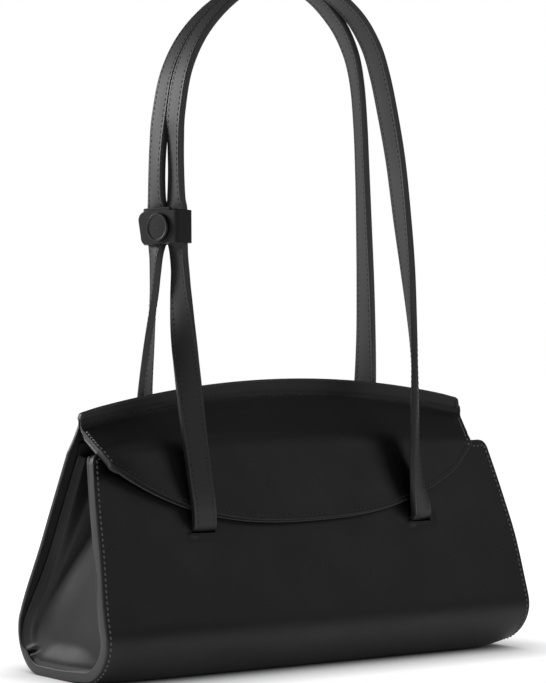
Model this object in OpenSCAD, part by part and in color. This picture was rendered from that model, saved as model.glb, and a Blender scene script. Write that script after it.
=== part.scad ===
/* [Body] */
// Length of the body at its widest
body_l = 319; // [300:1:336]
// Depth of the body at its widest
body_d = 104; // [96:1:112]
// Height of the front panel's top edge
mouth_h = 134; // [130:0.5:136]
// Lean of the front and back walls from upright, in degrees
wall_lean = 19.5; // [18.5:0.1:20.5]
// Radius of the two long lower edges
edge_r = 26; // [22:0.5:29]
// Height at which the ends are widest
widest_h = 30; // [20:1:45]
// How much each end draws in from its widest to the mouth
end_taper = 9.3; // [6:0.1:12]
// Thickness of the outer leather
panel_t = 2.6; // [2.2:0.1:3]
// Thickness of the stiffened lining of the front and back
side_lining_t = 2; // [1.4:0.1:2.4]
// Thickness of the lining where it thins out over the base
base_lining_t = 0.6; // [0.4:0.1:1]
// Thickness of the base insert
insert_t = 2; // [1.2:0.1:3]

/* [Ends] */
// Thickness of the gusset leather
gusset_t = 2.8; // [2:0.1:3.2]
// Width of the gusset's turned-out edge
flange_w = 7; // [5:0.5:10]
// How far the gusset is drawn in between its edges
gusset_dip = 19; // [10:1:24]

/* [Standing seam and flap] */
// Length of the standing seam along the top
seam_l = 289; // [276:1:296]
// Height of the seam's crown
seam_h = 176.7; // [172:0.5:184]
// How far the seam's ends drop below its crown
seam_drop = 16; // [12:0.5:18]
// Height of the doubled strip of the standing seam
fin_h = 9.5; // [8:0.5:12.5]
// Place of the seam behind the middle of the base
seam_y = 10.3; // [9:0.1:12]
// Thickness of the flap leather in the standing seam
band_t = 2.2; // [1.8:0.1:2.6]
// Length of the flap at its two tips
flap_l = 277; // [266:1:284]
// Height of the flap's lower edge in the middle
flap_low_h = 91.5; // [89:0.5:95]
// Height of the flap's two tips
flap_tip_h = 128; // [124:0.5:129.5]
// Height of the fold where the flap turns down the front
fold_h = 140.2; // [139:0.1:142]
// Thickness of the flap's lining
flap_lining_t = 2; // [1.4:0.1:2.2]
// Diameter of the hidden magnets
magnet_d = 14; // [8:1:18]
// Thickness of the hidden magnets
magnet_t = 1.2; // [0.8:0.1:1.3]
// Spacing of the hidden magnets
magnet_gap = 84; // [50:1:110]

/* [Straps] */
// Width of each strap
strap_w = 15; // [13:0.5:15.6]
// Thickness of one strap layer
strap_layer_t = 2.2; // [1.6:0.1:2.3]
// Spacing of the two slits of a strap
slit_gap = 165.6; // [158:0.2:172]
// Height of the line on which a strap turns at its slit
pivot_h = 88; // [86:0.5:90]
// Height of the strap's middle surface at the crown
strap_top_h = 431; // [400:1:460]
// Thickness of the sewn strap end inside the body
tab_t = 3.2; // [2.4:0.1:3.4]
// Length of the sewn strap end below its slit
tab_l = 28; // [18:1:34]

/* [Keeper] */
// Height of the middle of the keeper, as a share of the straps' rise above their slits
keeper_share = 0.5306; // [0.52:0.001:0.54]
// Height of the keeper's loop
keeper_band_h = 22.4; // [18:0.2:26]
// Height of the keeper's tab
keeper_tab_h = 20; // [16:0.2:22]
// Thickness of the keeper's leather
keeper_t = 2.2; // [1.8:0.1:2.4]
// Length of the tab from the middle of the snap to its free end
tab_reach = 17.4; // [15:0.2:25]
// Diameter of the snap's cap
cap_d = 17.6; // [12:0.2:18.4]
// Height of the snap's cap
cap_h = 1.8; // [1.2:0.1:3]

/* [Pocket] */
// Width of the inner pocket
pocket_w = 136; // [90:1:142]
// Height of the inner pocket's lower edge
pocket_low_h = 60; // [52:1:70]
// Height of the inner pocket's mouth
pocket_top_h = 118; // [100:1:122]
// Thickness of the pocket's leather
pocket_t = 1; // [0.8:0.1:1.4]

/* [Hidden] */

// Steps along a lower edge, an end's curve, the seam's arch and a strap's span
edge_steps = 8;
end_steps = 8;
arch_steps = 20;
round_steps = 4;
span_steps = 3;
// Overrun of every cut, and the clearances between pieces that move
cut = 1;
sew_gap = 0.3;
lie_gap = 0.4;
slot_gap = 0.3;
joint_gap = 0.3;
strap_gap = 0.8;
loop_gap = 0.4;
snap_gap = 0.8;
// Rounding of the panels' top corners and of the seam's ends
panel_corner_r = 5;
seam_corner_r = 4;
// How far the seam's foot is longer than its top at each end
seam_foot = 1;
end_curve = 1.8;
flap_curve = 2.6;
// Rounding of the flap's fold, as a length along each side of it
fold_r = 7;
magnet_h = 112;
lining_rise = 5;
insert_gap = 2;
pocket_room = 1.2;
edge_cut = 0.6;
bow_curve = 2.2;
bow_base_share = 0.32;

lean_c = cos(wall_lean);
lean_s = sin(wall_lean);
corner_y = body_d / 2 - edge_r;
side_in = panel_t + side_lining_t;
base_in = panel_t + base_lining_t;
flap_t = panel_t + flap_lining_t;
band_y = seam_y - band_t;
strap_half = slit_gap / 2;
pivot_y = wall_y(pivot_h, -strap_layer_t - lie_gap);
slot_h = pivot_h - strap_layer_t - joint_gap - tab_t / 2;
strap_rise = strap_top_h - pivot_h;
keeper_h = pivot_h + keeper_share * strap_rise;
flap_half = flap_l / 2;

// Half depth of a wall at height z, set in by o from its outer face
function wall_y(z, o) = corner_y + (edge_r - o - (z - edge_r) * lean_s) / lean_c;

// Height at which the back wall turns upright into the seam
function upright_z(o) =
    edge_r + (edge_r - o - (seam_y + panel_t - o - corner_y) * lean_c) / lean_s;

// Half length of the body at height z
function end_x(z) = body_l / 2
    - end_taper * pow(max(0, z - widest_h) / (mouth_h - widest_h), end_curve);

// Height of the seam's top and of its foot at x
function seam_z(x) = seam_h - seam_drop * pow(2 * x / seam_l, 2);
function crease_z(x) = seam_z(x) - fin_h;

// Height of the flap's lower edge at x
function flap_z(x) =
    flap_low_h + (flap_tip_h - flap_low_h) * pow(min(1, abs(x) / flap_half), flap_curve);

function unit(v) = v / norm(v);
function mix(a, b, t) = a + (b - a) * t;
function reversed(list) = [for (i = [len(list) - 1 : -1 : 0]) list[i]];
function flipped(list) = [for (p = list) [-p[0], p[1]]];
function joined(lists) = [for (a = lists) for (b = a) b];

// Curved lower edge, from under the base up to the wall, in depth and height
function corner_pts(base_o, side_o) = [
    for (i = [0 : edge_steps])
        let (t = i / edge_steps, a = -90 + (90 + wall_lean) * t, r = edge_r - mix(base_o, side_o, t))
            [corner_y + r * cos(a), edge_r + r * sin(a)]
];

// Side of a wall up to the height top
function side_pts(base_o, side_o, top) =
    concat(corner_pts(base_o, side_o), [[wall_y(top, side_o), top]]);

// Back side of the body, which turns upright below the seam
function back_pts(base_o, side_o, top) = concat(
    corner_pts(base_o, side_o),
    [[seam_y + panel_t - side_o, upright_z(side_o)], [seam_y + panel_t - side_o, top]]
);

// Quarter round with its centre inside the corner at [x, z]
function corner_round(x, z, r) = [
    for (i = [0 : round_steps])
        let (a = 90 * i / round_steps) [x - r + r * cos(a), z - r + r * sin(a)]
];

// Right edge of a panel from the floor to the height top
function end_pts(inset, top) = concat(
    [[end_x(0) - inset, 0]],
    [for (i = [0 : end_steps]) let (z = mix(widest_h, top, i / end_steps)) [end_x(z) - inset, z]]
);

module along_x(length) {
    rotate([90, 0, 90])
        translate([0, 0, -length / 2])
            linear_extrude(length)
                children();
}

module along_y(length) {
    rotate([90, 0, 0])
        translate([0, 0, -length / 2])
            linear_extrude(length)
                children();
}

// Outline that all but the back panel are cut to, seen from the front
module front_outline(top) {
    side = concat(end_pts(0, top - panel_corner_r), corner_round(end_x(top), top, panel_corner_r));
    along_y(body_d + 2 * cut)
        polygon(concat(side, reversed(flipped(side))));
}

// Outline of the back panel with the arched seam, seen from the front
module back_outline() {
    top = seam_z(seam_l / 2);
    reach = seam_l / 2 - seam_corner_r;
    arch = [for (i = [1 : arch_steps - 1]) let (x = reach - i * 2 * reach / arch_steps) [x, seam_z(x)]];
    ends = concat(
        end_pts(0, mouth_h),
        [[seam_l / 2 + seam_foot, crease_z(seam_l / 2)]],
        corner_round(seam_l / 2, top + seam_corner_r / 2, seam_corner_r)
    );
    along_y(body_d + 2 * cut)
        polygon(concat(ends, arch, reversed(flipped(ends))));
}

module wall_band(outer, inner) {
    along_x(body_l + 2 * cut)
        polygon(concat(outer, reversed(inner)));
}

// Slits for a strap, cut level through the wall on the side s
module slits(s) {
    for (x = [-strap_half, strap_half])
        translate([x, s * body_d / 4, slot_h])
            cube([strap_w + 2 * slot_gap, body_d / 2 + 2 * cut, tab_t + 2 * slot_gap], center = true);
}

module front_panel() {
    color("#242424")
        difference() {
            intersection() {
                wall_band(flipped(side_pts(0, 0, mouth_h)), flipped(side_pts(panel_t, panel_t, mouth_h)));
                front_outline(mouth_h);
            }
            slits(-1);
        }
}

module back_panel() {
    color("#222222")
        difference() {
            intersection() {
                wall_band(back_pts(0, 0, seam_h + cut), back_pts(panel_t, panel_t, seam_h + cut));
                back_outline();
            }
            slits(1);
        }
}

module base_panel() {
    color("#202020")
        intersection() {
            along_x(body_l + 2 * cut)
                translate([-corner_y, 0])
                    square([2 * corner_y, panel_t]);
            front_outline(mouth_h);
        }
}

module front_lining() {
    color("#3a3634")
        difference() {
            intersection() {
                wall_band(
                    flipped(side_pts(panel_t, panel_t, mouth_h)),
                    flipped(side_pts(base_in, side_in, mouth_h))
                );
                front_outline(mouth_h);
            }
            slits(-1);
            for (x = [-magnet_gap / 2, magnet_gap / 2])
                front_magnet(x, sew_gap);
        }
}

module back_lining() {
    top = mouth_h + lining_rise;
    color("#3a3634")
        difference() {
            intersection() {
                wall_band(
                    side_pts(panel_t, panel_t, top),
                    side_pts(base_in, side_in, top)
                );
                back_outline();
            }
            slits(1);
        }
}

module base_lining() {
    color("#3a3634")
        intersection() {
            along_x(body_l + 2 * cut)
                translate([-corner_y, panel_t])
                    square([2 * corner_y, base_lining_t]);
            front_outline(mouth_h);
        }
}

module base_insert() {
    length = body_l - 2 * (flange_w + insert_gap);
    width = 2 * corner_y;
    color("#2c2a29")
        translate([-length / 2, -width / 2, base_in])
            cube([length, width, insert_t]);
}

module inner_pocket() {
    outer_in = side_in + pocket_room + pocket_t;
    color("#3a3634")
        difference() {
            along_x(pocket_w)
                polygon([
                    [wall_y(pocket_low_h, side_in), pocket_low_h],
                    [wall_y(pocket_low_h, outer_in), pocket_low_h],
                    [wall_y(pocket_top_h, outer_in), pocket_top_h],
                    [wall_y(pocket_top_h, side_in), pocket_top_h]
                ]);
            along_x(pocket_w - 2 * pocket_t)
                polygon([
                    [wall_y(pocket_low_h + pocket_t, side_in - cut), pocket_low_h + pocket_t],
                    [wall_y(pocket_low_h + pocket_t, outer_in - pocket_t), pocket_low_h + pocket_t],
                    [wall_y(pocket_top_h + cut, outer_in - pocket_t), pocket_top_h + cut],
                    [wall_y(pocket_top_h + cut, side_in - cut), pocket_top_h + cut]
                ]);
        }
}

// A closed slab between two grids of points of the same size
module slab(near, far) {
    rows = len(near);
    cols = len(near[0]);
    count = rows * cols;
    function id(i, j, k) = k * count + i * cols + j;
    rim = concat(
        [for (j = [0 : cols - 2]) [0, j]],
        [for (i = [0 : rows - 2]) [i, cols - 1]],
        [for (j = [cols - 1 : -1 : 1]) [rows - 1, j]],
        [for (i = [rows - 1 : -1 : 1]) [i, 0]]
    );
    faces = concat(
        [for (i = [0 : rows - 2], j = [0 : cols - 2]) [id(i, j, 0), id(i, j + 1, 0), id(i + 1, j + 1, 0)]],
        [for (i = [0 : rows - 2], j = [0 : cols - 2]) [id(i, j, 0), id(i + 1, j + 1, 0), id(i + 1, j, 0)]],
        [for (i = [0 : rows - 2], j = [0 : cols - 2]) [id(i, j, 1), id(i + 1, j + 1, 1), id(i, j + 1, 1)]],
        [for (i = [0 : rows - 2], j = [0 : cols - 2]) [id(i, j, 1), id(i + 1, j, 1), id(i + 1, j + 1, 1)]],
        [for (k = [0 : len(rim) - 1]) let (a = rim[k], b = rim[(k + 1) % len(rim)])
            [id(b[0], b[1], 0), id(a[0], a[1], 0), id(a[0], a[1], 1)]],
        [for (k = [0 : len(rim) - 1]) let (a = rim[k], b = rim[(k + 1) % len(rim)])
            [id(b[0], b[1], 0), id(a[0], a[1], 1), id(b[0], b[1], 1)]]
    );
    polyhedron(concat(joined(near), joined(far)), faces);
}

// Half depth and height of the rows of the gusset's skin
gusset_rows = concat(
    corner_pts(base_in + gusset_t / 2, side_in + gusset_t / 2),
    [for (i = [1 : end_steps]) let (
        low = edge_r + (edge_r - side_in - gusset_t / 2) * lean_s,
        z = mix(low, mouth_h - cut, i / end_steps)
    ) [wall_y(z, side_in + gusset_t / 2), z]]
);

// How far the gusset's skin is drawn in at the share u of its half depth
function bow(u, z) =
    gusset_dip * (1 - pow(abs(u), bow_curve))
    * sin(90 * min(1, (z - base_in) / (bow_base_share * mouth_h)));

function gusset_grid(inset) = [
    for (row = gusset_rows) [
        for (j = [-6 : 6])
            let (u = j / 6)
                [-end_x(row[1]) + flange_w - gusset_t / 2 + inset + bow(u, row[1]), u * row[0], row[1]]
    ]
];

// Gusset of the left end: a turned-out edge round three sides and a skin drawn in
module gusset() {
    outer = side_pts(base_in, side_in, mouth_h);
    inner = side_pts(base_in + gusset_t, side_in + gusset_t, mouth_h);
    side = end_pts(0, mouth_h);
    inset = end_pts(flange_w, mouth_h);
    union() {
        intersection() {
            along_x(body_l + 2 * cut)
                polygon(concat(
                    reversed(flipped(outer)), outer, reversed(inner), flipped(inner)
                ));
            along_y(body_d)
                polygon(flipped(concat(side, reversed(inset))));
        }
        slab(gusset_grid(0), gusset_grid(gusset_t / 2));
    }
}

module left_gusset() {
    color("#2b2b2b")
        gusset();
}

module right_gusset() {
    color("#2b2b2b")
        mirror([1, 0, 0])
            gusset();
}

module seam_band() {
    foot = seam_l / 2 + seam_foot;
    top = seam_z(seam_l / 2);
    reach = seam_l / 2 - seam_corner_r;
    ends = corner_round(seam_l / 2, top + seam_corner_r / 2, seam_corner_r);
    arch = [for (i = [1 : arch_steps - 1]) let (x = reach - i * 2 * reach / arch_steps) [x, seam_z(x)]];
    foot_pts = [for (i = [0 : arch_steps]) let (x = -foot + i * 2 * foot / arch_steps) [x, crease_z(x)]];
    color("#1f1f1f")
        translate([0, seam_y - band_t / 2, 0])
            along_y(band_t)
                polygon(concat(ends, arch, reversed(flipped(ends)), foot_pts));
}

module on_front(x, z, o) {
    translate([x, -wall_y(z, o), z])
        rotate([90 - wall_lean, 0, 0])
            children();
}

module front_magnet(x, room) {
    on_front(x, magnet_h, panel_t)
        translate([0, 0, -magnet_t - room])
            cylinder(d = magnet_d + 2 * room, h = magnet_t + room, $fn = 48);
}

module front_magnets() {
    color("#8f9296")
        for (x = [-magnet_gap / 2, magnet_gap / 2])
            front_magnet(x, 0);
}

// Sewn end of a strap: it comes through the slit and runs down inside the lining
module strap_tabs(s) {
    up = slot_h + tab_t / 2;
    down = slot_h - tab_t / 2;
    low = down - tab_l;
    near = side_in + sew_gap;
    far = near + tab_t;
    tip = pivot_y + strap_layer_t / 2;
    for (x = [-strap_half, strap_half])
        translate([x, 0, 0])
            mirror([0, s < 0 ? 1 : 0, 0])
                along_x(strap_w)
                    polygon([
                        [tip, up], [tip, down], [wall_y(down, near), down], [wall_y(low, near), low],
                        [wall_y(low, far), low], [wall_y(up, far), up]
                    ]);
}

module front_strap_tabs() {
    color("#2e2e2e")
        strap_tabs(-1);
}

module back_strap_tabs() {
    color("#2e2e2e")
        strap_tabs(1);
}

// Outer face of the flap at x, as depth and height from the seam to its lower edge
function flap_profile(x, edge_x) = let (
    start = [band_y, crease_z(x) - joint_gap],
    fold = [-wall_y(fold_h, -lie_gap - flap_t), fold_h],
    low_z = flap_z(edge_x),
    low = [-wall_y(low_z, -lie_gap - flap_t), low_z],
    p1 = fold + unit(start - fold) * fold_r,
    p2 = fold + [-lean_s, -lean_c] * fold_r
) concat(
    [for (t = [0, 1/3, 2/3]) mix(start, p1, t)],
    [for (t = [0, 0.25, 0.5, 0.75]) mix(mix(p1, fold, t), mix(fold, p2, t), t)],
    [for (t = [0, 1/3, 2/3, 1]) mix(p2, low, t)]
);

// Share of the way from the seam to the fold at each row of the flap
flap_row_shares = [0, 0.14, 0.28, 0.42, 0.44, 0.47, 0.5, 0.54, 0.7, 0.86, 1];

function flap_grid(depth, first) = let (
    columns = [for (j = [-arch_steps / 2 : arch_steps / 2])
        let (
            u = j / (arch_steps / 2),
            line = flap_profile(u * (seam_l / 2 + seam_foot), u * flap_half),
            last = len(line) - 1
        ) [for (i = [first : last]) let (
            along = unit(line[min(i + 1, last)] - line[max(i - 1, 0)]),
            p = line[i] + depth * [-along[1], along[0]],
            x = u * mix(seam_l / 2 + seam_foot, flap_half, flap_row_shares[i])
        ) [x, p[0], p[1]]]]
) [for (i = [0 : len(columns[0]) - 1]) [for (c = columns) c[i]]];

module flap_outer() {
    color("#262626")
        slab(flap_grid(0, 0), flap_grid(panel_t, 0));
}

module flap_magnet(x, room) {
    on_front(x, magnet_h, -lie_gap - flap_lining_t)
        translate([0, 0, -magnet_t - room])
            cylinder(d = magnet_d + 2 * room, h = magnet_t + 2 * room, $fn = 48);
}

module flap_lining() {
    color("#3a3634")
        difference() {
            slab(flap_grid(panel_t, 1), flap_grid(flap_t, 1));
            for (x = [-magnet_gap / 2, magnet_gap / 2])
                flap_magnet(x, sew_gap);
        }
}

module flap_magnets() {
    color("#8f9296")
        for (x = [-magnet_gap / 2, magnet_gap / 2])
            on_front(x, magnet_h, -lie_gap - flap_lining_t)
                translate([0, 0, -magnet_t - sew_gap / 2])
                    cylinder(d = magnet_d, h = magnet_t, $fn = 48);
}

// Turn of the keeper, and the strap legs that lie side by side in it
keeper_turn = 76;
leg_gap = strap_w + strap_gap;
loop_x = -1.064 * strap_half;
loop_y = -0.006 * pivot_y;

front_leg = [loop_x + leg_gap / 2 * cos(keeper_turn), loop_y - leg_gap / 2 * sin(keeper_turn)];
back_leg = [loop_x - leg_gap / 2 * cos(keeper_turn), loop_y + leg_gap / 2 * sin(keeper_turn)];

// Route of a strap: share of the half spacing, share of the way from the crown's depth to the
// slit's, share of the rise, and the turn of the strap's width in degrees, from the left slit over
// the crown to the right slit
front_start_shares = [
    [-1.000, 1.000, 0.000, 0], [-1.004, 1.045, 0.040, 2], [-1.012, 0.961, 0.095, 9],
    [-1.028, 0.740, 0.180, 22], [-1.046, 0.494, 0.265, 44], [-1.044, 0.260, 0.345, 71],
    [-1.037, 0.091, 0.410, 78]
];
front_end_shares = [
    [-1.056, 0.008, 0.735, 86], [-1.000, 0.006, 0.813, 90], [-0.850, 0.003, 0.884, 90],
    [-0.600, 0.002, 0.945, 90], [-0.310, 0.002, 0.985, 90], [0.000, 0.002, 1.000, 90],
    [0.300, 0.003, 0.984, 88], [0.560, 0.020, 0.943, 86], [0.720, 0.059, 0.890, 85],
    [0.800, 0.124, 0.833, 84], [0.855, 0.221, 0.760, 82], [0.912, 0.351, 0.670, 83],
    [0.950, 0.494, 0.565, 89], [0.975, 0.611, 0.470, 101], [0.990, 0.708, 0.385, 114],
    [0.995, 0.812, 0.300, 125], [0.985, 0.916, 0.210, 135], [0.975, 1.013, 0.130, 148],
    [0.980, 1.078, 0.070, 163], [0.990, 1.058, 0.032, 174], [1.000, 1.000, 0.000, 180]
];
back_start_shares = [
    [-1.000, 1.000, 0.000, 180], [-1.020, 1.006, 0.040, 178], [-1.060, 0.857, 0.125, 163],
    [-1.096, 0.598, 0.225, 144], [-1.102, 0.338, 0.325, 129], [-1.097, 0.143, 0.405, 110],
    [-1.090, 0.039, 0.450, 90]
];
back_end_shares = [
    [-1.062, 0.008, 0.735, 86], [-1.004, 0.006, 0.813, 90], [-0.852, 0.003, 0.884, 90],
    [-0.600, 0.002, 0.945, 90], [-0.310, 0.002, 0.985, 90], [0.000, 0.002, 1.000, 90],
    [0.300, 0.004, 0.984, 92], [0.545, 0.033, 0.937, 96], [0.695, 0.091, 0.885, 100],
    [0.780, 0.163, 0.828, 104], [0.838, 0.260, 0.750, 105], [0.885, 0.377, 0.655, 104],
    [0.930, 0.507, 0.545, 99], [0.970, 0.630, 0.440, 92], [0.998, 0.740, 0.330, 84],
    [1.012, 0.844, 0.230, 68], [1.010, 0.929, 0.145, 42], [1.005, 0.994, 0.070, 16],
    [1.000, 1.000, 0.030, 4], [1.000, 1.000, 0.000, 0]
];
// Heights of the straight stretch that the keeper slides on
keeper_run = 17;
leg_shares = [-1, 0, 1, 2];

function placed(shares, side) = [
    for (s = shares)
        [s[0] * strap_half, side * mix(leg_gap / 2, pivot_y, s[1]), pivot_h + s[2] * strap_rise, s[3]]
];
function straight(leg) = [for (s = leg_shares) [leg[0], leg[1], keeper_h + s * keeper_run, keeper_turn]];

front_route = concat(placed(front_start_shares, -1), straight(front_leg), placed(front_end_shares, -1));
back_route = concat(placed(back_start_shares, 1), straight(back_leg), placed(back_end_shares, 1));

// Point on a smooth curve through the stations a, b, c and d, between b and c
function smooth(a, b, c, d, t) =
    0.5 * (2 * b + (c - a) * t + (2 * a - 5 * b + 4 * c - d) * pow(t, 2)
    + (3 * b - a - 3 * c + d) * pow(t, 3));

function stations(route) = let (last = len(route) - 1) concat(
    [for (i = [0 : last - 1]) for (k = [0 : span_steps - 1])
        smooth(route[max(i - 1, 0)], route[i], route[i + 1], route[min(i + 2, last)], k / span_steps)],
    [route[last]]
);

function place(s) = [s[0], s[1], s[2]];

// Cross sections of one strap layer, from its middle surface out to the depth high
function strap_rings(route, high) = let (
    list = stations(route),
    last = len(list) - 1,
    half = strap_w / 2,
    up = [0, 0, strap_layer_t],
    ends = [[0.3, 1], [0.75, 0.7]],
    stops = concat(
        [for (e = ends) [place(list[0]) - up * e[1], list[0][3], up, e[0]]],
        [for (i = [0 : last]) [
            place(list[i]), list[i][3],
            i == 0 ? up : i == last ? -up : place(list[i + 1]) - place(list[i - 1]), 1
        ]],
        [for (e = reversed(ends)) [place(list[last]) - up * e[1], list[last][3], -up, e[0]]]
    )
) [for (s = stops) let (
    along = unit(s[2]),
    flat = [cos(s[1]), -sin(s[1]), 0],
    across = unit(flat - (flat * along) * along),
    out = cross(across, along) * high * s[3],
    shoulder = out * (1 - edge_cut / strap_layer_t),
    trim = edge_cut * s[3]
) [
    s[0] - half * across,
    s[0] + half * across,
    s[0] + half * across + shoulder,
    s[0] + (half - trim) * across + out,
    s[0] - (half - trim) * across + out,
    s[0] - half * across + shoulder
]];

// A closed tube through rings of points, whose rings run the other way round when side is -1
module swept(rings, side) {
    n = len(rings[0]);
    last = len(rings) - 1;
    tiles = concat(
        [for (i = [0 : last - 1], k = [0 : n - 1])
            [i * n + k, (i + 1) * n + k, (i + 1) * n + (k + 1) % n]],
        [for (i = [0 : last - 1], k = [0 : n - 1])
            [i * n + k, (i + 1) * n + (k + 1) % n, i * n + (k + 1) % n]],
        [for (k = [1 : n - 2]) [0, k, k + 1]],
        [for (k = [1 : n - 2]) [last * n, last * n + k + 1, last * n + k]]
    );
    polyhedron(joined(rings), side > 0 ? tiles : [for (f = tiles) reversed(f)]);
}

module strap_layer(route, side) {
    swept(strap_rings(route, side * strap_layer_t), side);
}

module front_strap_outer() {
    color("#2c2c2c")
        strap_layer(front_route, 1);
}

module front_strap_lining() {
    color("#242424")
        strap_layer(front_route, -1);
}

module back_strap_outer() {
    color("#2c2c2c")
        strap_layer(back_route, 1);
}

module back_strap_lining() {
    color("#242424")
        strap_layer(back_route, -1);
}

// Keeper: a leather loop round both left legs, its outer layer a tab that snaps shut
loop_half_t = strap_layer_t + 2 * loop_gap;
loop_end_x = leg_gap / 2 + strap_w / 2 + 2 * loop_gap - loop_half_t;
face_y = -(loop_half_t + keeper_t);
tab_gap = 0.25;
stud_end_x = 7;
hinge_x = loop_end_x + loop_half_t + keeper_t;
tab_corner_r = 5.5;
post_d = 9;
post_t = 0.7;
stud_d = 3.6;
stud_reach = 1.3;
neck_d = 2.8;
socket_d = 8;
socket_t = 1.6;
snap_fn = 48;

module at_keeper() {
    translate([loop_x, loop_y, keeper_h])
        rotate([0, 0, -keeper_turn])
            children();
}

// Outline with two round ends, of half thickness r
module round_ended(r) {
    translate([-loop_end_x, -r])
        square([2 * loop_end_x, 2 * r]);
    for (x = [-loop_end_x, loop_end_x])
        translate([x, 0])
            circle(r = r, $fn = snap_fn);
}

// A turned piece of the snap, with its axis out through the keeper's face
module out_of_face(y) {
    translate([0, y, 0])
        rotate([90, 0, 0])
            children();
}

module keeper_band() {
    color("#2a2a2a")
        at_keeper()
            difference() {
                translate([0, 0, -keeper_tab_h / 2])
                    linear_extrude(keeper_band_h)
                        difference() {
                            round_ended(loop_half_t + keeper_t);
                            round_ended(loop_half_t);
                            translate([stud_end_x, face_y - cut])
                                square([hinge_x, -face_y + cut]);
                        }
                out_of_face(-loop_half_t + cut)
                    cylinder(d = stud_d, h = keeper_t + 2 * cut, $fn = snap_fn);
                out_of_face(-loop_half_t + cut)
                    cylinder(d = post_d, h = post_t + cut, $fn = snap_fn);
            }
}

module snap_post() {
    color("#6b6b6b")
        at_keeper()
            out_of_face(-loop_half_t)
                cylinder(d = post_d, h = post_t, $fn = snap_fn);
}

module snap_stud() {
    length = keeper_t - post_t + stud_reach;
    color("#6b6b6b")
        at_keeper()
            out_of_face(-loop_half_t - post_t)
                rotate_extrude($fn = snap_fn)
                    polygon([
                        [0, 0], [stud_d / 2, 0], [stud_d / 2, length - stud_reach],
                        [neck_d / 2, length - stud_reach * 0.7], [stud_d / 2, length - stud_reach * 0.35],
                        [neck_d / 2, length], [0, length]
                    ]);
}

// Seen from above, the tab curves off the loop's front end and lies over its face
module tab_outline() {
    steps = 10;
    inner_y = face_y - tab_gap;
    outer_y = inner_y - keeper_t;
    free_x = -tab_reach;
    start = 4;
    polygon(concat(
        [for (i = [0 : steps]) let (a = mix(start, 90, i / steps))
            [loop_end_x + (loop_half_t + keeper_t) * cos(a), outer_y * sin(a)]],
        [[free_x, outer_y], [free_x, inner_y]],
        [for (i = [steps : -1 : 0]) let (a = mix(start, 90, i / steps))
            [loop_end_x + loop_half_t * cos(a), inner_y * sin(a)]]
    ));
}

module keeper_tab() {
    half = keeper_tab_h / 2;
    color("#2e2e2e")
        at_keeper()
            difference() {
                intersection() {
                    translate([0, 0, -half])
                        linear_extrude(keeper_tab_h)
                            tab_outline();
                    along_y(2 * hinge_x)
                        polygon(concat(
                            [[hinge_x + cut, half], [hinge_x + cut, -half]],
                            reversed([for (p = corner_round(tab_reach, half, tab_corner_r)) [-p[0], -p[1]]]),
                            [for (p = corner_round(tab_reach, half, tab_corner_r)) [-p[0], p[1]]]
                        ));
                }
                out_of_face(face_y + cut)
                    cylinder(d = socket_d, h = keeper_t + tab_gap + 2 * cut, $fn = snap_fn);
            }
}

module snap_socket() {
    bore = stud_reach + sew_gap - tab_gap;
    color("#6b6b6b")
        at_keeper()
            out_of_face(face_y - tab_gap)
                difference() {
                    cylinder(d = socket_d, h = socket_t, $fn = snap_fn);
                    translate([0, 0, -cut])
                        cylinder(d = stud_d + 2 * snap_gap, h = bore + cut, $fn = snap_fn);
                }
}

module snap_cap() {
    seat = keeper_t - socket_t;
    top = seat + cap_h;
    color("#1c1c1c")
        at_keeper()
            out_of_face(face_y - tab_gap - socket_t)
                rotate_extrude($fn = 2 * snap_fn)
                    polygon([
                        [0, 0], [socket_d / 2, 0], [socket_d / 2, seat], [cap_d * 0.48, seat],
                        [cap_d / 2, seat + cap_h * 0.2], [cap_d / 2, seat + cap_h * 0.65],
                        [cap_d * 0.49, seat + cap_h * 0.9], [cap_d * 0.47, top], [cap_d * 0.45, top],
                        [cap_d * 0.43, seat + cap_h * 0.85], [cap_d * 0.4, seat + cap_h * 0.78],
                        [cap_d * 0.2, seat + cap_h * 0.82], [0, seat + cap_h * 0.84]
                    ]);
}

front_panel();
back_panel();
base_panel();
left_gusset();
right_gusset();
front_lining();
back_lining();
base_lining();
base_insert();
inner_pocket();
seam_band();
front_magnets();
front_strap_tabs();
back_strap_tabs();
flap_outer();
flap_lining();
flap_magnets();
front_strap_outer();
front_strap_lining();
back_strap_outer();
back_strap_lining();
keeper_band();
snap_stud();
snap_post();
keeper_tab();
snap_cap();
snap_socket();
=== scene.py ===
"""Studio scene of a small black leather shoulder bag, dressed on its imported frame."""

import logging
import math
from collections.abc import Callable, Sequence
from dataclasses import dataclass, field
from enum import Enum

import bpy
from mathutils import Matrix, Vector, noise


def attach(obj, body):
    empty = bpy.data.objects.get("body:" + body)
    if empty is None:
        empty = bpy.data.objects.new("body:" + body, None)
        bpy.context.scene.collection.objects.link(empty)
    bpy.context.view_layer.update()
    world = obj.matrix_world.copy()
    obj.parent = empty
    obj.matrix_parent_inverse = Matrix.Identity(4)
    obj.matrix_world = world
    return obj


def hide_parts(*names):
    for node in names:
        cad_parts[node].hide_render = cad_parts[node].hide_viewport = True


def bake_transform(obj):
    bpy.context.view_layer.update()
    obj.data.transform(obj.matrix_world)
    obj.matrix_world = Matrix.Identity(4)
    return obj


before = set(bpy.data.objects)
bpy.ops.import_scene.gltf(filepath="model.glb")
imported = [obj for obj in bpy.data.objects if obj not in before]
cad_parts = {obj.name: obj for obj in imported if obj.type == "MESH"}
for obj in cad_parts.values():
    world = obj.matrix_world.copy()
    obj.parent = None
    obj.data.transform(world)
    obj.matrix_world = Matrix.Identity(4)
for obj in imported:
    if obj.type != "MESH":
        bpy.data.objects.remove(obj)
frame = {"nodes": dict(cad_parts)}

logging.basicConfig(level=logging.INFO, format="%(message)s")
log = logging.getLogger("shoulder_bag")

MM = 0.001
Grid = list[list[Vector]]


# Materials


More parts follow.
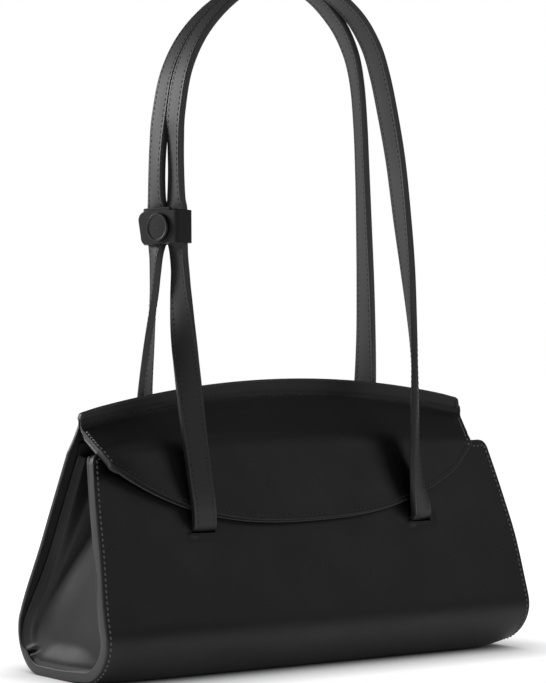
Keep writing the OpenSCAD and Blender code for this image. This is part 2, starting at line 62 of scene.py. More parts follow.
def linear(code: str) -> tuple[float, float, float, float]:
    """Turns an sRGB hex colour to linear RGBA.

    Args:
        code: The colour as "#rrggbb".

    Returns:
        The linear colour with an alpha of 1.
    """
    parts = [int(code[i : i + 2], 16) / 255 for i in (1, 3, 5)]
    red, green, blue = [c / 12.92 if c <= 0.04045 else ((c + 0.055) / 1.055) ** 2.4 for c in parts]
    return red, green, blue, 1.0


def add_node(tree: bpy.types.NodeTree, kind: str, inputs: dict[str, object] | None = None,
             **settings: object) -> bpy.types.Node:
    """Adds a shader node with its settings and inputs.

    Args:
        tree: The node tree that gets the node.
        kind: The node's type name.
        inputs: Input names with the value or the output socket that feeds each.
        **settings: Attributes of the node.

    Returns:
        The new node.
    """
    node = tree.nodes.new(kind)
    for name, value in settings.items():
        setattr(node, name, value)
    for name, value in (inputs or {}).items():
        if isinstance(value, bpy.types.NodeSocket):
            tree.links.new(value, node.inputs[name])
        else:
            node.inputs[name].default_value = value
    return node


def per_mm(size: float) -> float:
    """Gives the texture scale at which one feature is about size millimetres wide."""
    return 1.0 / (size * MM)


def empty_material(name: str) -> tuple[bpy.types.Material, bpy.types.NodeTree, bpy.types.NodeSocket]:
    """Makes a material without nodes, and gives it, its tree and the Object coordinates."""
    material = bpy.data.materials.new(name)
    material.use_nodes = True
    tree = material.node_tree
    tree.nodes.clear()
    where = add_node(tree, "ShaderNodeTexCoord").outputs["Object"]
    return material, tree, where


def close_material(tree: bpy.types.NodeTree, shader: bpy.types.Node) -> None:
    """Leads a shader to the material's output."""
    add_node(tree, "ShaderNodeOutputMaterial", {"Surface": shader.outputs[0]})


@dataclass(frozen=True)
class Leather:
    """Drum-dyed calf leather with a light wax finish: fine pebbled grain, low even sheen."""

    name: str
    base: str
    worn: str
    roughness: float
    grain_mm: float = 0.9
    grain_depth_mm: float = 0.035
    pore_mm: float = 0.45
    cloud_mm: float = 38.0
    level: float = 0.5

    def build(self) -> bpy.types.Material:
        """Builds the leather: cloudy dye, pebble grain, fine pores, uneven polish."""
        material, tree, where = empty_material(self.name)
        cloud = add_node(tree, "ShaderNodeTexNoise",
                         {"Vector": where, "Scale": per_mm(self.cloud_mm), "Detail": 3.0,
                          "Roughness": 0.55})
        dye = add_node(tree, "ShaderNodeValToRGB", {"Fac": cloud.outputs["Fac"]})
        dye.color_ramp.elements[0].position = 0.36
        dye.color_ramp.elements[0].color = linear(self.base)
        dye.color_ramp.elements[1].position = 0.74
        dye.color_ramp.elements[1].color = linear(self.worn)
        # real calf grain is about 0.3 mm wide and would not show, so it is drawn three times as coarse
        grain = add_node(tree, "ShaderNodeTexVoronoi",
                         {"Vector": where, "Scale": per_mm(self.grain_mm), "Randomness": 0.9},
                         feature="SMOOTH_F1")
        pores = add_node(tree, "ShaderNodeTexNoise",
                         {"Vector": where, "Scale": per_mm(self.pore_mm), "Detail": 2.0, "Roughness": 0.6})
        mixed = add_node(tree, "ShaderNodeMix",
                         {"Factor": 0.45, "A": grain.outputs["Distance"], "B": pores.outputs["Fac"]},
                         data_type="FLOAT")
        bump = add_node(tree, "ShaderNodeBump",
                        {"Strength": 0.6, "Distance": self.grain_depth_mm * MM,
                         "Height": mixed.outputs["Result"]})
        polish = add_node(tree, "ShaderNodeMapRange",
                          {"Value": cloud.outputs["Fac"], "From Min": 0.3, "From Max": 0.7,
                           "To Min": self.roughness - 0.05, "To Max": self.roughness + 0.05})
        shader = add_node(tree, "ShaderNodeBsdfPrincipled", {
            "Base Color": dye.outputs["Color"], "Roughness": polish.outputs["Result"], "IOR": 1.45,
            "Specular IOR Level": self.level, "Normal": bump.outputs["Normal"]})
        close_material(tree, shader)
        return material


@dataclass(frozen=True)
class EdgePaint:
    """Acrylic edge paint, rubbed on in coats: dense black with a satin, slightly wavy skin."""

    name: str
    base: str
    roughness: float
    wave_mm: float = 1.6

    def build(self) -> bpy.types.Material:
        """Builds the paint with the soft waves of hand burnishing."""
        material, tree, where = empty_material(self.name)
        wave = add_node(tree, "ShaderNodeTexNoise",
                        {"Vector": where, "Scale": per_mm(self.wave_mm), "Detail": 2.0})
        tone = add_node(tree, "ShaderNodeMapRange",
                        {"Value": wave.outputs["Fac"], "To Min": self.roughness - 0.06,
                         "To Max": self.roughness + 0.08})
        bump = add_node(tree, "ShaderNodeBump",
                        {"Strength": 0.4, "Distance": 0.05 * MM, "Height": wave.outputs["Fac"]})
        shader = add_node(tree, "ShaderNodeBsdfPrincipled", {
            "Base Color": linear(self.base), "Roughness": tone.outputs["Result"], "IOR": 1.5,
            "Normal": bump.outputs["Normal"]})
        close_material(tree, shader)
        return material


@dataclass(frozen=True)
class Thread:
    """Bonded nylon thread: round, tight, with the faint gloss of its bond."""

    name: str
    base: str
    light: str
    roughness: float
    twist_mm: float = 0.5

    def build(self) -> bpy.types.Material:
        """Builds the thread with the light and dark of its plies."""
        material, tree, where = empty_material(self.name)
        twist = add_node(tree, "ShaderNodeTexNoise",
                         {"Vector": where, "Scale": per_mm(self.twist_mm), "Detail": 1.0})
        tone = add_node(tree, "ShaderNodeMix",
                        {"Factor": twist.outputs["Fac"], "A": linear(self.base), "B": linear(self.light)},
                        data_type="RGBA")
        shader = add_node(tree, "ShaderNodeBsdfPrincipled", {
            "Base Color": tone.outputs["Result"], "Roughness": self.roughness, "Sheen Weight": 0.3,
            "Sheen Roughness": 0.4})
        close_material(tree, shader)
        return material


@dataclass(frozen=True)
class Napped:
    """Suede-finished lining: matt, with a short soft nap."""

    name: str
    base: str
    light: str
    nap_mm: float = 1.1

    def build(self) -> bpy.types.Material:
        """Builds the nap as patches of darker and lighter fibre."""
        material, tree, where = empty_material(self.name)
        nap = add_node(tree, "ShaderNodeTexNoise",
                       {"Vector": where, "Scale": per_mm(self.nap_mm), "Detail": 4.0, "Roughness": 0.7})
        tone = add_node(tree, "ShaderNodeMix",
                        {"Factor": nap.outputs["Fac"], "A": linear(self.base), "B": linear(self.light)},
                        data_type="RGBA")
        bump = add_node(tree, "ShaderNodeBump",
                        {"Strength": 0.5, "Distance": 0.06 * MM, "Height": nap.outputs["Fac"]})
        shader = add_node(tree, "ShaderNodeBsdfPrincipled", {
            "Base Color": tone.outputs["Result"], "Roughness": 0.85, "Sheen Weight": 0.25,
            "Sheen Roughness": 0.6, "Normal": bump.outputs["Normal"]})
        close_material(tree, shader)
        return material


@dataclass(frozen=True)
class Plated:
    """Nickel-plated pressed metal: turned marks under a dulled plating."""

    name: str
    base: str
    roughness: float
    metallic: float = 1.0
    mark_mm: float = 0.6

    def build(self) -> bpy.types.Material:
        """Builds the plating with uneven polish and faint marks."""
        material, tree, where = empty_material(self.name)
        marks = add_node(tree, "ShaderNodeTexNoise",
                         {"Vector": where, "Scale": per_mm(self.mark_mm), "Detail": 3.0})
        polish = add_node(tree, "ShaderNodeMapRange",
                          {"Value": marks.outputs["Fac"], "To Min": self.roughness - 0.06,
                           "To Max": self.roughness + 0.1})
        bump = add_node(tree, "ShaderNodeBump",
                        {"Strength": 0.25, "Distance": 0.02 * MM, "Height": marks.outputs["Fac"]})
        shader = add_node(tree, "ShaderNodeBsdfPrincipled", {
            "Base Color": linear(self.base), "Metallic": self.metallic,
            "Roughness": polish.outputs["Result"], "Normal": bump.outputs["Normal"]})
        close_material(tree, shader)
        return material


class Finish(Enum):
    """The bag's finishes, each with what the real one gives the eye."""

    # waxed calf: nearly black, with long soft highlights along the bends
    BODY = Leather("calf_leather_waxed", "#0f0f0f", "#141414", 0.47)
    # the same calf, thinner and without the wax, so its folds catch a broader, duller light
    GUSSET = Leather("calf_leather_soft", "#131313", "#191919", 0.55, grain_mm=1.0)
    # the panels' calf drawn a touch darker, painted shade for the straps' dimmer light: dark, even, a little
    # more matt than the panels
    STRAP = Leather("strap_leather", "#0d0d0d", "#121212", 0.52, grain_mm=0.8, level=0.36)
    # a small piece of the strap calf, with the same painted shade, lit only at its bent end and its rims
    KEEPER = Leather("keeper_leather_painted_shade", "#0e0e0e", "#131313", 0.52, grain_mm=0.8, level=0.4)
    # coats of acrylic over cut edges: a dark grey band beside the darker leather
    EDGE = EdgePaint("edge_paint", "#3a3a3a", 0.46)
    # the same paint darkened to near black as painted shade, for the edges inside the stack, where hardly any
    # light falls
    DARK_EDGE = EdgePaint("edge_paint_painted_shade", "#0c0c0c", 0.5)
    # the black bonded nylon drawn light grey, lighter than the leather: a painted highlight for the light
    # these stitches catch, so they read as a row of dashes
    THREAD = Thread("bonded_nylon_thread_painted_highlight", "#6a6a6a", "#929292", 0.42)
    # black thread pulled into the leather: faint dots only
    SUNK_THREAD = Thread("bonded_nylon_thread_sunk", "#0f0f0f", "#171717", 0.55)
    # a needle's hole: a near-black cone, painted shade for the dark point at each end of a stitch
    HOLE = EdgePaint("needle_hole_painted_shade", "#040404", 0.7)
    # split suede: matt warm grey without any highlight
    LINING = Napped("suede_lining", "#1d1b1a", "#2b2826")
    # pressed fibre board: matt and even
    BOARD = Napped("fibre_board", "#191817", "#22201f", nap_mm=0.7)
    # nickel plating: a bright point in the dark keeper when it is open
    NICKEL = Plated("nickel_plating", "#9a9b9e", 0.34)
    # enamel over the pressed cap: a dull black disc with one soft light on its rim
    CAP = Plated("cap_enamel", "#101010", 0.38, metallic=0.0)

    def material(self) -> bpy.types.Material:
        """Gives the finish's material, built once."""
        return bpy.data.materials.get(self.value.name) or self.value.build()


# Building sheets of leather


def deselect_all() -> None:
    """Leaves edit mode and selects nothing."""
    if bpy.context.object and bpy.context.object.mode != "OBJECT":
        bpy.ops.object.mode_set(mode="OBJECT")
    bpy.ops.object.select_all(action="DESELECT")


def make_active(piece: bpy.types.Object) -> None:
    """Selects one object alone and makes it active."""
    deselect_all()
    piece.select_set(True)
    bpy.context.view_layer.objects.active = piece


def smoothstep(low: float, high: float, value: float) -> float:
    """Rises smoothly from 0 at low to 1 at high."""
    t = min(1.0, max(0.0, (value - low) / (high - low)))
    return t * t * (3 - 2 * t)


def spread(low: float, high: float, step: float) -> list[float]:
    """Gives even values from low to high, at most step apart."""
    count = max(1, math.ceil(abs(high - low) / step - 1e-6))
    return [low + (high - low) * i / count for i in range(count + 1)]


def merged(values: Sequence[float], least: float) -> list[float]:
    """Sorts values and drops those that lie closer than least to the one before."""
    kept: list[float] = []
    for value in sorted(values):
        if not kept or value - kept[-1] >= least:
            kept.append(value)
    return kept


def surface_normals(points: Grid) -> Grid:
    """Gives the normal at each point of a grid from its neighbours."""
    rows, cols = len(points), len(points[0])
    found: Grid = []
    for r in range(rows):
        line = []
        for c in range(cols):
            along = points[r][min(c + 1, cols - 1)] - points[r][max(c - 1, 0)]
            down = points[min(r + 1, rows - 1)][c] - points[max(r - 1, 0)][c]
            line.append(along.cross(down).normalized())
        found.append(line)
    return found


@dataclass
class Sheet:
    """A piece of sheet leather: one grid of points with a thickness, closed by painted edges."""

    name: str
    points: Grid
    thickness: float | Callable[[int, int], float]
    face: Finish
    edge: Finish
    back: Finish | None = None
    bevel: float = 0.45
    segments: int = 3
    hole: Callable[[int, int], bool] | None = None
    sewn: bool = False
    normals: Grid | None = None

    def build(self) -> bpy.types.Object:
        """Builds the sheet from a grid that is cut, extruded to its thickness and bevelled.

        Returns:
            The finished mesh object at the origin.
        """
        rows, cols = len(self.points), len(self.points[0])
        deselect_all()
        bpy.ops.mesh.primitive_grid_add(x_subdivisions=cols - 1, y_subdivisions=rows - 1, size=2,
                                        location=(0, 0, 0))
        piece = bpy.context.object
        piece.name = self.name
        mesh = piece.data
        mesh.name = self.name
        place = mesh.attributes.new("place", "INT", "POINT")
        index = [round((v.co.y + 1) / 2 * (rows - 1)) * cols + round((v.co.x + 1) / 2 * (cols - 1))
                 for v in mesh.vertices]
        place.data.foreach_set("value", index)
        if self.hole:
            self._cut(piece, index, cols)
        bpy.ops.object.mode_set(mode="EDIT")
        bpy.ops.mesh.select_all(action="SELECT")
        bpy.ops.mesh.extrude_region_move(TRANSFORM_OT_translate={"value": (0, 0, 0.01)})
        bpy.ops.object.mode_set(mode="OBJECT")
        far = [v.select for v in mesh.vertices]
        where = [0] * len(mesh.vertices)
        mesh.attributes["place"].data.foreach_get("value", where)
        normals = self.normals or surface_normals(self.points)
        for v, deep, key in zip(mesh.vertices, far, where):
            r, c = divmod(key, cols)
            point = self.points[r][c]
            if deep:
                depth = self.thickness(r, c) if callable(self.thickness) else self.thickness
                point = point + normals[r][c] * depth
            v.co = point * MM
        mesh.materials.append(self.face.material())
        mesh.materials.append(self.edge.material())
        mesh.materials.append((self.back or self.face).material())
        for polygon in mesh.polygons:
            deep = [far[i] for i in polygon.vertices]
            polygon.material_index = 2 if all(deep) else 0 if not any(deep) else 1
        mesh.attributes.remove(mesh.attributes["place"])
        if self.sewn:
            self._sew(piece, [all(where[i] // cols == rows - 1 for i in polygon.vertices)
                              for polygon in mesh.polygons])
        self._finish(piece)
        return piece

    def _sew(self, piece: bpy.types.Object, rim: list[bool]) -> None:
        """Drops the last row's rim faces and joins the points that then lie on each other.

        Args:
            piece: The sheet.
            rim: For each face, whether it is in that rim.
        """
        make_active(piece)
        bpy.ops.object.mode_set(mode="EDIT")
        bpy.ops.mesh.select_all(action="DESELECT")
        bpy.ops.mesh.select_mode(type="FACE")
        bpy.ops.object.mode_set(mode="OBJECT")
        for polygon, dropped in zip(piece.data.polygons, rim):
            polygon.select = dropped
        bpy.ops.object.mode_set(mode="EDIT")
        bpy.ops.mesh.delete(type="ONLY_FACE")
        bpy.ops.mesh.select_mode(type="VERT")
        bpy.ops.mesh.select_all(action="SELECT")
        bpy.ops.mesh.remove_doubles(threshold=0.02 * MM)
        bpy.ops.mesh.delete_loose(use_verts=True, use_edges=True, use_faces=False)
        bpy.ops.object.mode_set(mode="OBJECT")

    def _cut(self, piece: bpy.types.Object, index: list[int], cols: int) -> None:
        """Deletes the faces whose corner nearest the start is in the hole."""
        mesh = piece.data
        bpy.ops.object.mode_set(mode="EDIT")
        bpy.ops.mesh.select_all(action="DESELECT")
        bpy.ops.mesh.select_mode(type="FACE")
        bpy.ops.object.mode_set(mode="OBJECT")
        for polygon in mesh.polygons:
            r, c = divmod(min(index[i] for i in polygon.vertices), cols)
            polygon.select = self.hole(r, c)
        bpy.ops.object.mode_set(mode="EDIT")
        bpy.ops.mesh.delete(type="FACE")
        bpy.ops.mesh.select_mode(type="VERT")
        bpy.ops.object.mode_set(mode="OBJECT")

    def _finish(self, piece: bpy.types.Object) -> None:
        """Turns the faces outwards, rounds the painted edges and smooths the rest."""
        make_active(piece)
        bpy.ops.object.mode_set(mode="EDIT")
        bpy.ops.mesh.select_all(action="SELECT")
        bpy.ops.mesh.normals_make_consistent(inside=False)
        bpy.ops.object.mode_set(mode="OBJECT")
        if self.bevel > 0:
            rounding = piece.modifiers.new("rounding", "BEVEL")
            rounding.width = self.bevel * MM
            rounding.segments = self.segments
            rounding.limit_method = "ANGLE"
            rounding.angle_limit = math.radians(55)
            rounding.use_clamp_overlap = True
            bpy.ops.object.modifier_apply(modifier=rounding.name)
        bpy.ops.object.shade_smooth_by_angle(angle=math.radians(40))


def finish_piece(piece: bpy.types.Object, nodes: Sequence[str], body: str | None = None,
                 bend: tuple[str, str, Sequence[float], Sequence[float]] | None = None) -> bpy.types.Object:
    """Puts a finished piece on its body, or bakes its transform when it has a bend, and hides the CAD nodes
    that it stands for.

    Args:
        piece: The finished mesh object.
        nodes: The CAD nodes that it replaces.
        body: The body that it rides on.
        bend: Two bodies with the start and the end of the bend, in millimetres.

    Returns:
        The same object.
    """
    if bend:
        first, second, start, end = bend
        [c * MM for c in start]
        [c * MM for c in end]
        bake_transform(piece)
    else:
        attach(piece, body)
    if nodes:
        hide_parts(*nodes)
    log.info("%s: %d faces", piece.name, len(piece.data.polygons))
    return piece


# The shape of the bag


class Wall(Enum):
    """The two long walls, with the sign of their side."""

    FRONT = -1
    BACK = 1


@dataclass(frozen=True)
class BagShape:
    """Sizes of the bag in millimetres, with the curves that its pieces follow."""

    length: float = 319.0
    depth: float = 104.0
    mouth: float = 134.0
    lean: float = math.radians(19.5)
    edge_r: float = 26.0
    widest: float = 30.0
    taper: float = 9.3
    panel: float = 2.5
    lining: float = 2.0
    base_lining: float = 0.6
    gusset: float = 2.7
    seam_len: float = 289.0
    seam_top: float = 176.7
    seam_drop: float = 16.0
    fin: float = 9.5
    seam_y: float = 10.3
    band: float = 2.2
    flap_len: float = 277.0
    flap_low: float = 91.5
    flap_tip: float = 129.2
    tip_x: float = -145.0
    tip_rise: float = 3.5
    tip_run: float = 9.0
    fold_h: float = 140.3
    ridge_tilt: float = 0.0229
    crease_tilt: float = 0.0138
    edge_tilt: float = 0.029
    seam_shift: float = 1.5
    front_slits: tuple[float, float] = (-83.9, 81.3)
    back_slits: tuple[float, float] = (-82.8, 82.8)
    slit_z: float = 87.4

    @property
    def corner_y(self) -> float:
        """Half depth of the flat of the base."""
        return self.depth / 2 - self.edge_r

    def slits(self, wall: Wall) -> tuple[float, float]:
        """Gives the places of a wall's two slits along the bag."""
        return self.front_slits if wall is Wall.FRONT else self.back_slits

    def wall_y(self, z: float, inset: float = 0.0) -> float:
        """Half depth of a leaning wall at a height, inset from its outer face."""
        return self.corner_y + (self.edge_r - inset - (z - self.edge_r)
                                * math.sin(self.lean)) / math.cos(self.lean)

    def end_x(self, z: float) -> float:
        """Half length of the body at a height."""
        rise = max(0.0, z - self.widest) / (self.mouth - self.widest)
        return self.length / 2 - self.taper * rise**1.8

    def arch(self, x: float) -> float:
        """How far the seam has dropped from its middle."""
        return self.seam_drop * (2 * x / self.seam_len) ** 2

    def seam_z(self, x: float) -> float:
        """Height of the standing seam's top, a little higher at the right as photographed."""
        return self.seam_top - self.arch(x) + self.ridge_tilt * x

    def crease_z(self, x: float) -> float:
        """Height of the standing seam's foot."""
        return self.seam_top - self.fin - self.arch(x) + self.crease_tilt * x

    def flap_z(self, x: float) -> float:
        """Height of the flap's lower edge, a little higher at the right as photographed."""
        share = min(1.0, abs(2 * x / self.flap_len))
        corner = self.tip_rise * max(0.0, 1 - (x - self.tip_x) / self.tip_run) ** 2
        drop = self.flap_low + (self.flap_tip - self.flap_low) * share**2.6 + self.edge_tilt * x
        return drop + corner + 4.0 * smoothstep(112, 134, x)

    def settled(self, p: Vector) -> Vector:
        """Moves a point of the drawn bag to where the soft bag lets it stand.

        The lower body leans to its left, the back swells above the base, both ends curl off the floor,
        the right one more, and the front's mouth rises towards the right.

        Args:
            p: The point as drawn.

        Returns:
            The point on the standing bag.
        """
        low = 1 - smoothstep(30, 82, p.z)
        back = smoothstep(6, 24, p.y) * (1 - smoothstep(30, 120, p.z))
        foot = 1 - smoothstep(0, 42, p.z)
        right = max(0.0, (p.x - 122) / 37.5) ** 2 * foot
        left = max(0.0, (-p.x - 122) / 37.5) ** 2 * foot
        tilt = (1 + p.x / 160) * smoothstep(84, 134, p.z) * smoothstep(0, 14, -p.y)
        slide = Vector((0, math.sin(self.lean), math.cos(self.lean))) * tilt
        return p + Vector((-3.0 * low - 2.4 * right, 3.8 * back,
                           4.8 * right + 2.6 * left * smoothstep(-10, 45, -p.y))) + slide

    def stack(self, t: float) -> float:
        """Thickness of panel, lining and gusset at t of wall_line, thinner over the base."""
        return (self.panel + self.base_lining + (self.lining - self.base_lining) * min(1.0, t / 0.3)
                + self.gusset)

    def wall_face(self, z: float, wall: Wall) -> float:
        """Half depth of a wall's outer face at a height above the edge's curve."""
        leaning = self.wall_y(z)
        if wall is Wall.FRONT:
            return leaning
        upright = self.seam_y + self.panel
        return 0.5 * (leaning + upright + math.hypot(leaning - upright, 2.4)) - 0.25

    def wall_line(self, wall: Wall, t: float, top: float) -> tuple[Vector, Vector]:
        """Gives a point of a wall's outer face and its outward normal, in depth and height.

        Args:
            wall: The front or the back wall.
            t: From 0 at the base's seam, over 0.3 at the end of the curve, to 1 at the top.
            top: The height of the wall's top.

        Returns:
            The point and the normal, each as (depth, height).
        """
        turn = math.pi / 2 + self.lean
        if t <= 0.3:
            a = -math.pi / 2 + turn * t / 0.3
            n = Vector((math.cos(a), math.sin(a)))
            return Vector((self.corner_y, self.edge_r)) + n * self.edge_r, n
        start = self.edge_r + self.edge_r * math.sin(self.lean)
        z = start + (top - start) * (t - 0.3) / 0.7
        step = 0.4
        slope = (self.wall_face(z + step, wall) - self.wall_face(z - step, wall)) / (2 * step)
        return Vector((self.wall_face(z, wall), z)), Vector((1.0, -slope)).normalized()

    def t_at(self, z: float, top: float) -> float:
        """Gives t of wall_line for a height above the curve."""
        start = self.edge_r + self.edge_r * math.sin(self.lean)
        return 0.3 + 0.7 * (z - start) / (top - start)

    def on_wall(self, wall: Wall, x: float, t: float, top: float,
                inset: float = 0.0) -> tuple[Vector, Vector]:
        """Gives a point on a wall in space, and the wall's outward normal."""
        p, n = self.wall_line(wall, t, top)
        s = wall.value
        return Vector((x, s * (p.x - n.x * inset), p.y - n.y * inset)), Vector((0, s * n.x, n.y))


def softness(x: float, y: float, size: float, seed: float) -> float:
    """Gives a slow wave between about -1 and 1, for leather that is never quite flat."""
    return noise.noise(Vector((x / size, y / size, seed)))


# Stitches


@dataclass
class Stitches:
    """Rows of lockstitches: one stitch and its hole are modelled, then laid along each row."""

    pitch: float = 3.4
    length: float = 2.45
    width: float = 0.8
    slant: float = 0.12
    hole: float = 0.42
    _shape: tuple[list[Vector], list[tuple[int, ...]], list[int]] | None = field(default=None, init=False)

    def _stitch(self) -> tuple[list[Vector], list[tuple[int, ...]], list[int]]:
        """Models one stitch along x, highest in the middle and sunk at both ends, with the hole after it."""
        if self._shape is None:
            deselect_all()
            bpy.ops.mesh.primitive_cylinder_add(vertices=6, radius=1.0, depth=2.0, location=(0, 0, 0),
                                                rotation=(0, math.pi / 2, 0))
            bar = bpy.context.object
            bpy.ops.object.transform_apply(location=False, rotation=True, scale=False)
            bpy.ops.object.mode_set(mode="EDIT")
            for x in (-0.72, 0.0, 0.72):
                bpy.ops.mesh.select_all(action="SELECT")
                bpy.ops.mesh.bisect(plane_co=(x, 0, 0), plane_no=(1, 0, 0))
            bpy.ops.object.mode_set(mode="OBJECT")
            half, r = self.length / 2, self.width / 2
            points = []
            for v in bar.data.vertices:
                far = abs(v.co.x)
                size, lift = (0.4, -0.3) if far > 0.9 else (0.92, 0.0) if far > 0.4 else (1.0, 0.12)
                points.append(Vector((v.co.x * half, v.co.y * r * size + v.co.x * half * self.slant,
                                      v.co.z * r * size + lift * self.width)))
            polygons = [tuple(polygon.vertices) for polygon in bar.data.polygons]
            kinds = [0] * len(polygons)
            bpy.data.objects.remove(bar)
            deselect_all()
            bpy.ops.mesh.primitive_cone_add(vertices=6, radius1=self.hole, depth=0.3,
                                            location=(self.pitch / 2, 0, 0))
            awl = bpy.context.object
            first = len(points)
            points += [Vector(((v.co.x + self.pitch / 2), v.co.y * 1.25, v.co.z * 0.6 - 0.02))
                       for v in awl.data.vertices]
            polygons += [tuple(first + i for i in polygon.vertices) for polygon in awl.data.polygons]
            kinds += [1] * len(awl.data.polygons)
            bpy.data.objects.remove(awl)
            self._shape = (points, polygons, kinds)
        return self._shape

    def lay(self, name: str, rows: Sequence[Sequence[tuple[Vector, Vector]]],
            thread: Finish = Finish.SUNK_THREAD) -> bpy.types.Object:
        """Lays stitches along rows of points.

        Args:
            name: The piece's name.
            rows: Each row as points with the outward normal of the leather there.
            thread: The finish of the thread.

        Returns:
            One mesh object that holds all the stitches.
        """
        points, polygons, kinds = self._stitch()
        verts: list[Vector] = []
        faces: list[tuple[int, ...]] = []
        slots: list[int] = []
        for row in rows:
            for place, ahead, out in self._marks(row):
                first = len(verts)
                side = out.cross(ahead).normalized()
                ahead = side.cross(out).normalized()
                verts += [place + ahead * p.x + side * p.y + out * p.z for p in points]
                faces += [tuple(first + i for i in polygon) for polygon in polygons]
                slots += kinds
        mesh = bpy.data.meshes.new(name)
        mesh.from_pydata([tuple(v * MM) for v in verts], [], faces)
        mesh.materials.append(thread.material())
        # the hole cones get the near-black finish: painted shade
        mesh.materials.append(Finish.HOLE.material())
        mesh.polygons.foreach_set("material_index", slots)
        piece = bpy.data.objects.new(name, mesh)
        bpy.context.scene.collection.objects.link(piece)
        make_active(piece)
        bpy.ops.object.mode_set(mode="EDIT")
        bpy.ops.mesh.select_all(action="SELECT")
        bpy.ops.mesh.normals_make_consistent(inside=False)
        bpy.ops.object.mode_set(mode="OBJECT")
        bpy.ops.object.shade_smooth_by_angle(angle=math.radians(50))
        return piece

    def _marks(self, row: Sequence[tuple[Vector, Vector]]) -> list[tuple[Vector, Vector, Vector]]:
        """Gives the middle, direction and outward normal of each stitch of a row."""
        marks = []
        lengths = [0.0]
        for (a, _), (b, _) in zip(row[:-1], row[1:]):
            lengths.append(lengths[-1] + (b - a).length)
        count = max(1, round(lengths[-1] / self.pitch))
        step = lengths[-1] / count
        k = 0
        for i in range(count):
            s = (i + 0.5) * step
            while k < len(lengths) - 2 and lengths[k + 1] < s:
                k += 1
            share = (s - lengths[k]) / max(1e-6, lengths[k + 1] - lengths[k])
            place = row[k][0].lerp(row[k + 1][0], share)
            out = row[k][1].lerp(row[k + 1][1], share).normalized()
            ahead = (row[k + 1][0] - row[k][0]).normalized()
            marks.append((place, ahead, out))
        return marks


def paint_edge(name: str, places: Sequence[tuple[Vector, Vector, float]], sign: int,
               dome: float = 0.55) -> bpy.types.Object:
    """Builds the bead of paint that covers the cut edges of a stack of leathers.

    Args:
        name: The piece's name.
        places: Points on the outer face's rim, with the direction through the stack and its thickness.
        sign: 1 or -1, to which side of the path the cut faces.
        dome: How far the bead stands proud in the middle.

    Returns:
        The finished bead.
    """
    across = ((0.0, -0.15), (0.05, 0.45), (0.15, 0.78), (0.32, 0.95), (0.5, 1.0), (0.68, 0.95),
              (0.85, 0.78), (0.95, 0.45), (1.0, -0.15))
    points: Grid = []
    normals: Grid = []
    last = len(places) - 1
    for i, (p, through, width) in enumerate(places):
        along = (places[min(i + 1, last)][0] - places[max(i - 1, 0)][0]).normalized()
        out = along.cross(through).normalized() * sign
        points.append([p + through * (width * a + 0.1 * a - 0.05) + out * (dome * lift) for a,
                       lift in across])
        normals.append([-out] * len(across))
    return Sheet(name, points, 0.7, Finish.EDGE, Finish.EDGE, bevel=0.0, normals=normals).build()


